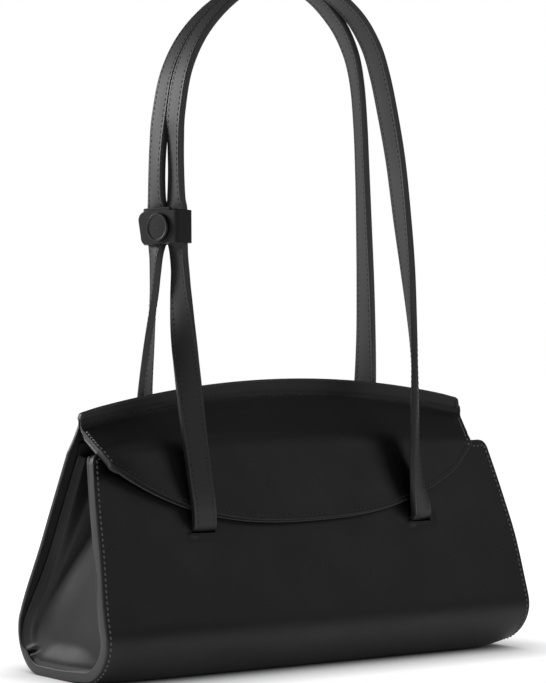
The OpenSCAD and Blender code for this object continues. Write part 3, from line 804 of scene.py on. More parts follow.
@dataclass
class Body:
    """The two walls, the base and the linings, sewn flat along both ends."""

    shape: BagShape
    stitches: Stitches
    coarse: float = 4.0
    fine: float = 1.1
    seam_in: float = 2.5
    slit_w: float = 16.4
    slit_h: float = 4.6
    corner_r: float = 5.0
    back_recess: float = 5.5

    def columns(self, wall: Wall | None) -> list[float]:
        """Gives the places along the half length from -1 to 1, finer round a wall's slits."""
        half = self.shape.end_x(self.shape.slit_z)
        values = spread(-half, half, self.coarse)
        for x in self.shape.slits(wall) if wall else ():
            values = [v for v in values if abs(v - x) > 14]
            values += spread(x - 14, x - self.slit_w / 2, self.fine)
            values += spread(x - self.slit_w / 2, x + self.slit_w / 2, self.fine)
            values += spread(x + self.slit_w / 2, x + 14, self.fine)
        values += [-half + 0.6, half - 0.6, -half + 1.6, half - 1.6]
        return [v / half for v in merged(values, 0.3)]

    def heights(self, top: float) -> list[float]:
        """Gives t from the base's seam to the top, finer round the slits."""
        low, high = self.shape.slit_z - self.slit_h / 2, self.shape.slit_z + self.slit_h / 2
        walls = spread(36, low - 8, 3.6) + spread(low - 8, low, self.fine) + spread(low, high, self.fine)
        walls += spread(high, high + 6, self.fine) + spread(high + 6, top, 3.4) + [top - 0.4, top - 1.1,
                                                                                   top - 2.1, top - 3.3,
                                                                                   top - 4.6]
        return merged([0.3 * i / 16 for i in range(17)] + [self.shape.t_at(z, top) for z in walls], 0.0015)

    def corner(self, near: float) -> float:
        """How far a rounded top corner lies inside the end at a distance below the top."""
        r = self.corner_r
        return r - math.sqrt(max(0.0, r * r - (r - near) ** 2)) if near < r else 0.0

    def outline(self, u: float, z: float, top: float) -> float:
        """Half length at a height, with the panels' rounded top corners, times u."""
        return u * (self.shape.end_x(z) - self.corner(top - z))

    def slit_hole(self, wall: Wall, columns: list[float], rows: list[float],
                  top: float) -> Callable[[int, int], bool]:
        """Gives the test for faces that lie in one of a wall's strap slits."""
        half = self.shape.end_x(self.shape.slit_z)
        low = self.shape.t_at(self.shape.slit_z - self.slit_h / 2, top)
        high = self.shape.t_at(self.shape.slit_z + self.slit_h / 2, top)

        def inside(r: int, c: int) -> bool:
            x = (columns[c] + columns[c + 1]) / 2 * half
            t = (rows[r] + rows[r + 1]) / 2
            return low < t < high and any(abs(x - slit) < self.slit_w / 2
                                          for slit in self.shape.slits(wall))

        return inside

    def pucker(self, x: float, z: float, wall: Wall) -> float:
        """How far the leather stands out round a slit, whose lower lip the strap pushes open."""
        pushed = 0.0
        below = self.shape.slit_z - self.slit_h / 2 - z
        for slit in self.shape.slits(wall):
            dx = x - slit
            if below > -0.5:
                pushed += 0.75 * math.exp(-((dx / 9.0) ** 4) - (below / 2.6) ** 2)
                pushed += 1.0 * math.exp(-(((dx + self.slit_w / 2) / 2.6) ** 2) - ((below - 0.6) / 2.4) ** 2)
            pushed += 0.5 * math.exp(-(((dx - self.slit_w / 2 - 1.6) / 1.8) ** 2)
                                     - ((below + 3.0) / 3.4) ** 2)
        return pushed

    def face_point(self, wall: Wall, u: float, t: float) -> tuple[Vector, Vector]:
        """Gives a point of a wall's outer face and its outward normal, up to the standing seam."""
        shape, s = self.shape, wall.value
        if t <= 1.0:
            p, n = shape.on_wall(wall, 0, t, shape.mouth)
            x = self.outline(u, p.z, shape.mouth) if wall is Wall.FRONT else u * shape.end_x(p.z)
            return Vector((x, p.y, p.z)), n
        x, z = self.seam_place(u, (t - 1.0) / 1.2)
        slope = (shape.wall_face(z + 0.4, wall) - shape.wall_face(z - 0.4, wall)) / 0.8
        return Vector((x, s * shape.wall_face(z, wall), z)), Vector((0, s, -slope)).normalized()

    def leather(self, wall: Wall, name: str) -> bpy.types.Object:
        """Builds a wall's leather from the base's seam up to its top, with its slits."""
        shape = self.shape
        columns, rows = self.columns(wall), self.heights(shape.mouth)
        if wall is Wall.BACK:
            rows += [1.0 + 0.1 * i for i in range(1, 13)]
        points: Grid = []
        normals: Grid = []
        for t in rows:
            line, facing = [], []
            for u in columns:
                p, n = self.face_point(wall, u, t)
                wave = 0.45 * softness(p.x, p.z, 75,
                                       3.0 * wall.value) * smoothstep(0, 14, shape.length / 2 - abs(p.x))
                push = wave * smoothstep(4, 30, p.z) * (1 - smoothstep(120, 134, p.z))
                push += self.pucker(p.x, p.z, wall)
                line.append(shape.settled(p + n * push))
                facing.append(-n)
            points.append(line)
            normals.append(facing)
        sheet = Sheet(name, points, shape.panel, Finish.BODY, Finish.EDGE, Finish.LINING, bevel=0.45,
                      hole=self.slit_hole(wall, columns, rows, shape.mouth), normals=normals)
        return sheet.build()

    def seam_place(self, u: float, share: float) -> tuple[float, float]:
        """Gives x and height on the back wall from the mouth's height up to the seam's top."""
        shape = self.shape
        half_low, half_foot = shape.end_x(shape.mouth), shape.seam_len / 2 + 1.2
        half_top = shape.seam_len / 2 + 0.4
        x_top = shape.seam_shift + u * half_top
        foot_z, top = shape.crease_z(x_top), shape.seam_z(x_top)
        z = shape.mouth + (top - shape.mouth) * share
        if z < foot_z:
            part = (z - shape.mouth) / (foot_z - shape.mouth)
            half, middle = half_low + (half_foot - half_low) * part, shape.seam_shift * part
        else:
            half = half_foot + (half_top - half_foot) * (z - foot_z) / max(1.0, top - foot_z)
            middle = shape.seam_shift
        near, r = top - z, 1.6
        if near < r:
            half -= (r - math.sqrt(max(0.0, r * r - (r - near) ** 2))) * smoothstep(0.9, 1.0, abs(u))
        return middle + u * half, z

    def base(self) -> bpy.types.Object:
        """Builds the base panel between the two walls' seams."""
        shape = self.shape
        columns = self.columns(None)
        depths = spread(-shape.corner_y, shape.corner_y, 3.5)
        points = [[shape.settled(Vector((u * shape.length / 2, y, 0.0))) for u in columns] for y in depths]
        normals = [[Vector((0, 0, 1))] * len(columns) for _ in depths]
        return Sheet("base_leather", points, shape.panel, Finish.BODY, Finish.EDGE, Finish.LINING,
                     bevel=0.35, normals=normals).build()

    def recess(self, wall: Wall, z: float) -> float:
        """How far the lining's end lies inside the wall's: at the back only, and more towards the top."""
        return self.back_recess * smoothstep(8, 70, z) if wall is Wall.BACK else 0.0

    def lining(self, wall: Wall, name: str, top: float) -> bpy.types.Object:
        """Builds a wall's lining, which thins out over the base."""
        shape = self.shape
        columns = self.columns(wall)
        rows = self.heights(shape.mouth)
        ts = rows if top <= shape.mouth else rows + [1.02, 1.045]
        points: Grid = []
        normals: Grid = []
        for t in ts:
            line, facing = [], []
            for u in columns:
                p, n = shape.on_wall(wall, 0, t, shape.mouth, shape.panel + 0.05)
                x = (self.outline(u, p.z, shape.mouth) if wall is Wall.FRONT
                     else u * shape.end_x(min(p.z, shape.mouth)))
                x -= math.copysign(self.recess(wall, p.z) * smoothstep(0.9, 1.0, abs(u)), u)
                line.append(shape.settled(Vector((x, p.y, p.z))))
                facing.append(-n)
            points.append(line)
            normals.append(facing)

        def depth(r: int, c: int) -> float:
            return shape.base_lining + (shape.lining - 0.05 - shape.base_lining) * min(1.0, ts[r] / 0.3)

        # the lining's cut edges take the near-black paint: painted shade
        return Sheet(name, points, depth, Finish.LINING, Finish.DARK_EDGE, Finish.LINING, bevel=0.18,
                     segments=2,
                     hole=self.slit_hole(wall, columns, ts, shape.mouth), normals=normals).build()

    def base_lining(self) -> bpy.types.Object:
        """Builds the thin lining over the base panel."""
        shape = self.shape
        columns = self.columns(None)
        depths = spread(-shape.corner_y, shape.corner_y, 5.2)
        points = [[shape.settled(Vector((u * shape.length / 2, y, shape.panel + 0.05))) for u in columns]
                  for y in depths]
        normals = [[Vector((0, 0, 1))] * len(columns) for _ in depths]
        return Sheet("base_lining_suede", points, shape.base_lining - 0.05, Finish.LINING, Finish.EDGE,
                     bevel=0.0, normals=normals).build()

    def side_rows(self, wall: Wall, low: float, high: float) -> list[list[tuple[Vector, Vector]]]:
        """Gives the stitch rows beside both ends of a wall, over its outer face."""
        rows = []
        for end in (-1, 1):
            row = []
            for t in spread(low, high, 0.02):
                p, n = self.shape.on_wall(wall, 0, t, self.shape.mouth)
                row.append((self.shape.settled(Vector((end * (self.shape.end_x(p.z) - self.seam_in), p.y,
                                                       p.z))), n))
            if wall is Wall.FRONT:
                p, n = self.shape.on_wall(wall, 0, 1.0, self.shape.mouth)
                for x in (8.0, 12.0, 18.0, 26.0):
                    down = 2.5
                    row.append((Vector((end * (self.shape.end_x(p.z) - x), p.y - n.z * down,
                                        p.z - down * math.cos(self.shape.lean))), n))
            rows.append(row)
        return rows

    def end_rim(self, end: int) -> list[tuple[Vector, Vector, float]]:
        """Gives the rim of one end for its paint: down the front, under the base and up the back."""
        shape = self.shape
        ts = self.heights(shape.mouth)
        rim = []
        p, n = self.face_point(Wall.FRONT, end, 1.0)
        rim.append((p - Vector((end * 2.2, 0, 0)), -n, shape.stack(1.0)))
        for t in reversed(ts):
            p, n = self.face_point(Wall.FRONT, end, t)
            rim.append((p, -n, shape.stack(t) + 0.5 * min(1.0, t / 0.3)))
        for y in spread(-shape.corner_y, shape.corner_y, 3.5)[1:-1]:
            rim.append((Vector((end * shape.length / 2, y, 0)), Vector((0, 0, 1)), shape.stack(0.0)))
        for t in ts + [1.0 + 0.1 * i for i in range(1, 9)]:
            p, n = self.face_point(Wall.BACK, end, t)
            rim.append((p, -n, shape.panel + (shape.stack(t) - shape.panel) * (1 - smoothstep(7, 17, p.z))))
        return [(shape.settled(p), n, width) for p, n, width in rim]

    def build(self) -> None:
        """Builds the body's pieces."""
        shape = self.shape
        finish_piece(self.leather(Wall.FRONT, "front_leather"), ["front_panel"], "bag")
        finish_piece(self.leather(Wall.BACK, "back_leather"), ["back_panel"], "bag")
        finish_piece(self.base(), ["base_panel"], "bag")
        finish_piece(self.lining(Wall.FRONT, "front_lining_suede", shape.mouth), ["front_lining"],
                     "bag")
        finish_piece(self.lining(Wall.BACK, "back_lining_suede", shape.mouth + 5),
                     ["back_lining"], "bag")
        finish_piece(self.base_lining(), ["base_lining"], "bag")
        rows = self.side_rows(Wall.FRONT, 0.02, 0.975)
        # the side rows at both ends of the front get the light grey thread: a painted highlight
        finish_piece(self.stitches.lay("front_side_stitches", rows, Finish.THREAD), [],
                     "bag")
        rows = self.side_rows(Wall.BACK, 0.02, 0.985)
        finish_piece(self.stitches.lay("back_side_stitches", rows), [], "bag")
        for end, name in ((-1, "left_end_paint"), (1, "right_end_paint")):
            finish_piece(paint_edge(name, self.end_rim(end), end, 0.35), [], "bag")


@dataclass
class Gusset:
    """One end: leather turned outwards along the seam and drawn in between front and back."""

    shape: BagShape
    body: Body
    end: int
    flange: float = 7.0
    dip: float = 19.0
    bend_r: float = 3.0

    def rim(self, s: float, inset: float) -> Vector:
        """Gives the seam line in depth and height: s runs from 0 at the front top to 1 at the back top."""
        shape = self.shape
        side = -1 if s < 0.5 else 1
        run = 1 - abs(s - 0.5) * 2
        wall_share = 0.56
        if run < wall_share:
            start = shape.edge_r * (1 + math.sin(shape.lean))
            z = shape.mouth + (start - shape.mouth) * run / wall_share
            p = Vector((shape.wall_y(z), z))
            n = Vector((math.cos(shape.lean), math.sin(shape.lean)))
        elif run < 0.84:
            a = shape.lean - (math.pi / 2 + shape.lean) * (run - wall_share) / (0.84 - wall_share)
            n = Vector((math.cos(a), math.sin(a)))
            p = Vector((shape.corner_y, shape.edge_r)) + n * shape.edge_r
        else:
            n = Vector((0, -1))
            p = Vector((shape.corner_y * (1 - run) / 0.16, 0.0))
        p = p - n * inset
        return Vector((side * p.x, p.y))

    def drawn_in(self, y: float, z: float) -> float:
        """How far the skin is drawn in from the flange's inner end, above the fold that crosses it aslant."""
        half = max(4.0, self.shape.wall_y(max(z, 10.0), 7.5))
        u = max(-1.0, min(1.0, y / half))
        past = max(0.0, 0.766 * (y - 10.0) + 0.643 * (z - 46.0) + 8.0)
        drawn = 1.5 * smoothstep(4, 40, z) + self.dip * (1 - math.exp(-((past / 36.0) ** 2)))
        return (drawn + 0.6 * softness(y, z, 60, 9.0 + self.end)
                * smoothstep(20, 60, z)) * (1 - abs(u) ** 2.2)

    def crumple(self, y: float, z: float) -> float:
        """The small star of folds in the lower back corner, where the skin is pinched into the seam."""
        dy, dz = 49.0 - y, z - 9.8
        run, rise = 0.964 * dy + 0.265 * dz, 0.964 * dz - 0.265 * dy
        groove = -1.7 * math.exp(-((rise / 0.9) ** 2) - ((run - 8.5) / 8.5) ** 4)
        above = 1.6 * math.exp(-(((rise - 2.3) / 1.5) ** 2) - ((run - 11.5) / 3.6) ** 2)
        below = 0.9 * math.exp(-(((rise + 2.1) / 1.1) ** 2) - ((run - 11.5) / 4.2) ** 2)
        return groove + above + below

    def build(self) -> bpy.types.Object:
        """Builds the gusset from its seam edge over the flange and its bend to the middle line.

        Along the front the flange turns outwards; along the base and the back the skin starts at the seam.

        Returns:
            The finished mesh object.
        """
        shape = self.shape
        points: Grid = []
        arc, open_part = 5, self.flange - self.bend_r
        shares = [0.012, 0.03, 0.05, 0.07, 0.09, 0.11, 0.135, 0.165, 0.2, 0.24, 0.29, 0.35, 0.42, 0.5, 0.59,
                  0.69, 0.8, 0.9, 1.0]
        half_stops = merged(spread(0.5, 1, 1 / 128) + spread(0.56, 0.74, 1 / 420), 0.0012)
        stops = [1 - s for s in reversed(half_stops[1:])] + half_stops
        for r in range(4 + arc + len(shares)):
            line = []
            for s in stops:
                straight = smoothstep(0.36, 0.5, s)
                stack = shape.stack(0.3 * (0.84 - min(0.84, 1 - abs(s - 0.5) * 2)) / 0.28) - 0.05
                outer = self.rim(s, stack - (shape.gusset - 0.1) * straight)
                inner = self.rim(s, stack + self.bend_r)
                spine = Vector((0.0, max(inner.y, 34 + 0.2 * inner.y)))
                recess = self.body.recess(Wall.BACK, outer.y) if s > 0.5 else 0.0
                start = self.flange + (recess + 2.2 - self.flange) * straight
                if r < 4:
                    p = outer.lerp(inner, (0.0, 0.06, 0.14, 0.24)[r] * straight)
                    turned, plain = open_part * (0.0, 0.18, 0.55, 1.0)[r], recess + 0.22 * r
                    x_in = turned + (plain - turned) * straight
                elif r < 4 + arc:
                    a = math.pi / 2 * (r - 3) / arc
                    part = 0.24 + 0.76 * (r - 3) / arc
                    p = outer.lerp(inner, 1 - math.cos(a) + (part - 1 + math.cos(a)) * straight)
                    turned = open_part + self.bend_r * math.sin(a)
                    plain = recess + 0.66 + 1.54 * (r - 3) / arc
                    x_in = turned + (plain - turned) * straight
                else:
                    share = shares[r - 4 - arc]
                    p = inner.lerp(spine, share)
                    x_in = start + (self.flange - start) * smoothstep(0, 0.5, share)
                    x_in += self.drawn_in(p.x, p.y) * smoothstep(0, 0.16, share)
                if s > 0.5:
                    x_in = max(0.0, x_in - self.crumple(p.x, p.y) * smoothstep(0, 3, r))
                elif p.y > shape.mouth - self.body.corner_r:
                    x_in = max(x_in, self.body.corner(shape.mouth - p.y))
                line.append(shape.settled(Vector((self.end * (shape.end_x(p.y) - x_in), p.x, p.y))))
            points.append(line)
        name = "left_gusset_leather" if self.end < 0 else "right_gusset_leather"
        thickness = (shape.gusset - 0.1) * -self.end
        normals = surface_normals(points)
        normals[-1] = [Vector((1, 0, 0))] * len(stops)
        return Sheet(name, points, thickness, Finish.GUSSET, Finish.GUSSET, Finish.LINING, bevel=0.5,
                     sewn=True,
                     normals=normals).build()


@dataclass
class Flap:
    """The flap: sewn up into the standing seam, folded over the mouth and down the front."""

    shape: BagShape
    stitches: Stitches
    full_stitches: Stitches
    outer: float = 2.3
    inner: float = 2.1
    lie: float = 0.45
    crease_r: float = 7.0
    step: float = 3.6
    middles: tuple[float, float, float] = (1.5, -7.4, -6.15)
    halves: tuple[float, float, float] = (146.0, 140.4, 138.85)
    side_drop: float = 11.8
    fin_rows: int = 7
    crease_row: int = 11
    stitch_in: float = 2.4

    def place(self, u: float, share: float) -> float:
        """Gives a column's place along the bag, for a share of 0 at the crease and 1 at the tips."""
        i = 0 if share < 0.5 else 1
        part = share * 2 - i
        middle = self.middles[i] + (self.middles[i + 1] - self.middles[i]) * part
        half = self.halves[i] + (self.halves[i + 1] - self.halves[i]) * part
        return middle + u * half

    def path(self, u: float) -> tuple[list[Vector], list[Vector], list[float]]:
        """Gives the outer face along one column, with its inward normals and shares.

        Args:
            u: The column's place, from -1 at the left to 1 at the right.

        Returns:
            Points and normals in depth and height, and the share of place for each.
        """
        shape = self.shape
        total = self.outer + self.inner + self.lie
        x = self.place(u, 0.0)
        low_z = shape.flap_z(self.place(u, 1.0))
        fold_z = shape.fold_h - (2.15 - 1.15 * u) * abs(u) ** 3
        proud = (3.4 - 2.6 * u) * u**4
        front = shape.seam_y - shape.band
        corners = [
            Vector((front, shape.seam_z(shape.seam_shift + u * (shape.seam_len / 2 + 0.4)))),
            Vector((front, shape.crease_z(x))),
            Vector((-shape.wall_y(fold_z, -total), fold_z)),
            Vector((-shape.wall_y(low_z, -total - proud), low_z)),
        ]
        points: list[Vector] = []
        normals: list[Vector] = []
        radii = [self.crease_r, 14.0 + 14.5 * (1 - abs(u) ** 3)]
        arcs, straights = [self.crease_row - self.fin_rows, 9], [self.fin_rows, 9, 17]
        at = corners[0]
        for i in (1, 2):
            before = (corners[i] - corners[i - 1]).normalized()
            after = (corners[i + 1] - corners[i]).normalized()
            turn = math.atan2(before.x * after.y - before.y * after.x, before.dot(after))
            cut = min(radii[i - 1] * math.tan(abs(turn) / 2), 0.9 * (corners[i + 1] - corners[i]).length)
            radii[i - 1] = cut / math.tan(abs(turn) / 2)
            enter = corners[i] - before * cut
            for k in range(straights[i - 1]):
                points.append(at.lerp(enter, k / straights[i - 1]))
                normals.append(Vector((-before.y, before.x)))
            sign = 1 if turn > 0 else -1
            centre = enter + Vector((-before.y, before.x)) * radii[i - 1] * sign
            for k in range(arcs[i - 1]):
                a = turn * k / arcs[i - 1]
                turned = Vector((before.x * math.cos(a) - before.y * math.sin(a),
                                 before.x * math.sin(a) + before.y * math.cos(a)))
                normal = Vector((-turned.y, turned.x))
                points.append(centre - normal * radii[i - 1] * sign)
                normals.append(normal)
            at = corners[i] + after * cut
        last = (corners[3] - corners[2]).normalized()
        ends = [k / straights[2] for k in range(straights[2])] + [1 - 1.6 / (corners[3] - at).length, 1.0]
        for share in sorted(ends):
            points.append(at.lerp(corners[3], share))
            normals.append(Vector((-last.y, last.x)))
        return points, normals, self._shares(points, (corners[2] - corners[1]).length)

    def _shares(self, points: list[Vector], roof: float) -> list[float]:
        """Gives the share of place for the points of one column, from the roof's length."""
        shares, length = [], 0.0
        for k, p in enumerate(points):
            if k >= self.crease_row - 2:
                length += (p - points[k - 1]).length
            over = max(0.0, length - roof)
            shares.append(0.5 * min(1.0, length / roof) + 0.5 * min(1.0, over / self.side_drop))
        return shares

    def grid(self, depth: float, first: int) -> tuple[Grid, Grid]:
        """Gives the flap's points at a depth below its outer face, from one row on, and the normals."""
        columns: list[tuple[list[Vector], list[Vector]]] = []
        us = merged(spread(-1, 1, 2 * self.step / 289)
                    + [-0.998, -0.995, 0.996, -0.985, 0.985, -0.97, 0.97, -0.94], 0.002)
        for u in us:
            points, normals, shares = self.path(u)
            line, facing = [], []
            for k in range(first, len(points)):
                x = self.place(u, shares[k])
                if k < self.fin_rows:
                    x -= u * 1.2 * (1 - k / self.fin_rows)
                near = (points[0] - points[k]).length
                if k < 8 and near < 1.6:
                    rounded = 1.6 - math.sqrt(max(0.0, 2.56 - (1.6 - near) ** 2))
                    x -= u * rounded * smoothstep(0.9, 1, abs(u))
                n = Vector((0, normals[k].x, normals[k].y))
                p = Vector((x, points[k].x, points[k].y)) + n * depth
                wave = (0.5 * softness(x, p.z - p.y, 60, 21.0) * smoothstep(0.1, 0.5, shares[k])
                        * smoothstep(0, 12, 138 - abs(x)))
                line.append(p - n * max(0.0, wave))
                facing.append(n)
            columns.append((line, facing))
        rows = len(columns[0][0])
        return ([[c[0][r] for c in columns] for r in range(rows)],
                [[c[1][r] for c in columns] for r in range(rows)])

    def edge_rows(self, points: Grid, facing: Grid) -> tuple[list[list[tuple[Vector, Vector]]],
                                                             list[list[tuple[Vector, Vector]]]]:
        """Gives the stitch rows inside the flap's sides, then those of its lower edge and the seam."""
        cols, last = len(points[0]), len(points) - 1
        low = []
        for c in range(3, cols - 3):
            up = (points[last - 4][c] - points[last][c]).normalized()
            low.append((points[last][c] + up * self.stitch_in, -facing[last][c]))
        foot = self.fin_rows + 2
        seam = [(points[foot][c], -facing[foot][c]) for c in range(3, cols - 3)]
        sides = [[(points[r][c], -facing[r][c]) for r in range(self.crease_row + 1, last - 1)]
                 for c in (2, cols - 3)]
        ends = []
        for c, sign in ((0, 1), (cols - 1, -1)):
            top, low_z = points[0][c].z, points[self.fin_rows][c].z
            ends.append([(Vector((points[3][c].x + sign * self.stitch_in, points[0][c].y, z)),
                          Vector((0, -1, 0)))
                         for z in spread(top - 2.6, low_z - 1.0, 2.0)])
        return sides, [low, seam] + ends

    def rims(self, points: Grid, facing: Grid) -> tuple[list[tuple[Vector, Vector, float]],
                                                        list[tuple[Vector, Vector, float]]]:
        """Gives the rim of the standing seam and that of the flap, each from left to right."""
        shape, last, cols = self.shape, len(points) - 1, len(points[0])
        stack = shape.band + shape.panel + 0.1
        ends = [(r, 0) for r in range(self.fin_rows, 0,
                                      -1)], [(r, cols - 1) for r in range(1, self.fin_rows + 1)]
        seam = [(points[r][c], Vector((0, 1, 0)), stack) for r,
                c in ends[0] + [(0, c) for c in range(cols)] + ends[1]]
        places = [(r, 0) for r in range(self.fin_rows - 1, last)] + [(last, c) for c in range(cols)]
        places += [(r, cols - 1) for r in range(last - 1, self.fin_rows - 2, -1)]
        start = points[self.crease_row]
        flap = []
        for r, c in places:
            away = (points[r][c] - start[c]).length if r > self.crease_row else 0.0
            flap.append((points[r][c], facing[r][c], self.outer + self.inner * min(1.0, 0.08 + away / 4)))
        return seam, flap

    def build(self) -> None:
        """Builds the flap's leather, its lining, its painted edges and its stitches."""
        shape = self.shape
        bend = ("bag", "flap", (0, shape.seam_y - shape.band - 0.3, 150), (0, -14, 150))
        points, normals = self.grid(0.0, 0)
        leather = Sheet("flap_leather", points, self.outer - 0.05, Finish.BODY, Finish.EDGE, Finish.LINING,
                        bevel=0.4, normals=normals).build()
        finish_piece(leather, ["flap_outer", "seam_band"], bend=bend)
        under, facing = self.grid(self.outer, self.crease_row)
        lengths = [(row[0] - under[0][0]).length for row in under]

        def skived(r: int, c: int) -> float:
            return self.inner * min(1.0, 0.08 + lengths[r] / 4)

        lining = Sheet("flap_lining_suede", under, skived, Finish.LINING, Finish.EDGE, Finish.LINING,
                       bevel=0.3, segments=2, normals=facing).build()
        finish_piece(lining, ["flap_lining"], bend=bend)
        seam, flap = self.rims(points, normals)
        finish_piece(paint_edge("seam_paint", seam, 1), [], "bag")
        finish_piece(paint_edge("flap_paint", flap, 1), [], bend=bend)
        sides, others = self.edge_rows(points, normals)
        # the flap's side rows get the light grey thread: a painted highlight
        finish_piece(self.full_stitches.lay("flap_side_stitches", sides, Finish.THREAD),
                     [], bend=bend)
        finish_piece(self.stitches.lay("flap_stitches", others), [], bend=bend)


# The straps


FRONT_ROUTE = (
    (-83.9, -33.2, 91.4, 0.0), (-85.6, -34.9, 102.5, 0.0), (-87.3, -33.2, 120.6, 2.0),
    (-87.8, -27.5, 149.7, 8.0), (-87.3, -21.0, 178.9, 26.0), (-86.5, -14.8, 206.3, 60.0),
    (-85.1, -10.3, 228.6, 80.0), (-84.5, -8.7, 243, 90.0), (-84.7, -7.9, 252, 91.0),
    (-85.3, -7.87, 258.5, 87.0), (-86.19, -7.87, 265, 79.0), (-86.19, -7.87, 280, 79.0),
    (-86.4, -7.87, 288, 91.0), (-86.4, -7.87, 304, 97.0), (-86.6, -8.0, 322, 96.0),
    (-86.2, -8.1, 340.1, 90.0), (-80.6, -8.1, 366.9, 90.0), (-67.6, -8.0, 391.2, 90.0),
    (-47.0, -8.0, 412.1, 90.0), (-23.6, -8.0, 425.9, 90.0), (1.5, -8.0, 431.0, 90.0),
    (26.5, -8.0, 425.5, 88.0), (48.2, -8.4, 411.4, 86.0), (61.3, -9.5, 393.3, 85.0),
    (67.6, -11.2, 373.7, 84.0), (71.8, -13.8, 348.7, 84.0), (75.4, -17.2, 317.8, 87.0),
    (77.3, -21.0, 281.8, 93.0), (79.0, -24.1, 249.2, 104.0), (79.9, -26.7, 220.1, 117.0),
    (79.8, -29.4, 190.9, 127.0), (78.0, -32.0, 160.0, 133.0), (75.7, -34.2, 132.6, 138.0),
    (75.9, -35.6, 112.0, 148.0), (77.9, -35.0, 101.0, 158.0), (81.3, -33.2, 91.4, 168.0),
)
BACK_ROUTE = (
    (-82.8, 33.2, 91.4, 180.0), (-84.5, 34.2, 102.5, 178.0), (-87.8, 30.6, 130.9, 163.0),
    (-90.7, 23.7, 165.2, 144.0), (-91.3, 16.9, 199.5, 131.0), (-91.0, 11.7, 226.9, 117.0),
    (-91.5, 8.9, 242.3, 110.0), (-91.6, 7.6, 252, 104.0), (-91.0, 7.46, 258.5, 94.0),
    (-90.01, 7.46, 265, 80.0), (-90.1, 7.46, 280, 79.0), (-90.8, 7.46, 288, 90.0),
    (-90.7, 7.5, 304, 94.0), (-89.4, 7.8, 322, 92.0), (-87.0, 8.1, 340.1, 88.0),
    (-80.9, 8.1, 366.9, 90.0), (-67.7, 8.0, 391.2, 90.0), (-47.0, 8.0, 412.1, 90.0),
    (-23.6, 8.0, 425.9, 90.0), (1.5, 8.0, 431.0, 90.0), (26.7, 8.0, 425.5, 92.0),
    (47.2, 8.8, 409.4, 96.0), (59.6, 10.3, 391.6, 100.0), (66.5, 12.2, 372.0, 104.0),
    (71.1, 14.8, 345.2, 105.0), (74.8, 17.9, 312.7, 104.0), (78.4, 21.3, 274.9, 99.0),
    (81.6, 24.6, 238.9, 92.0), (83.8, 27.5, 201.2, 84.0), (84.6, 30.3, 166.9, 68.0),
    (84.0, 32.5, 137.7, 42.0), (83.3, 33.6, 112.0, 16.0), (82.9, 33.7, 101.0, 4.0),
    (82.8, 33.2, 91.4, 0.0),
)


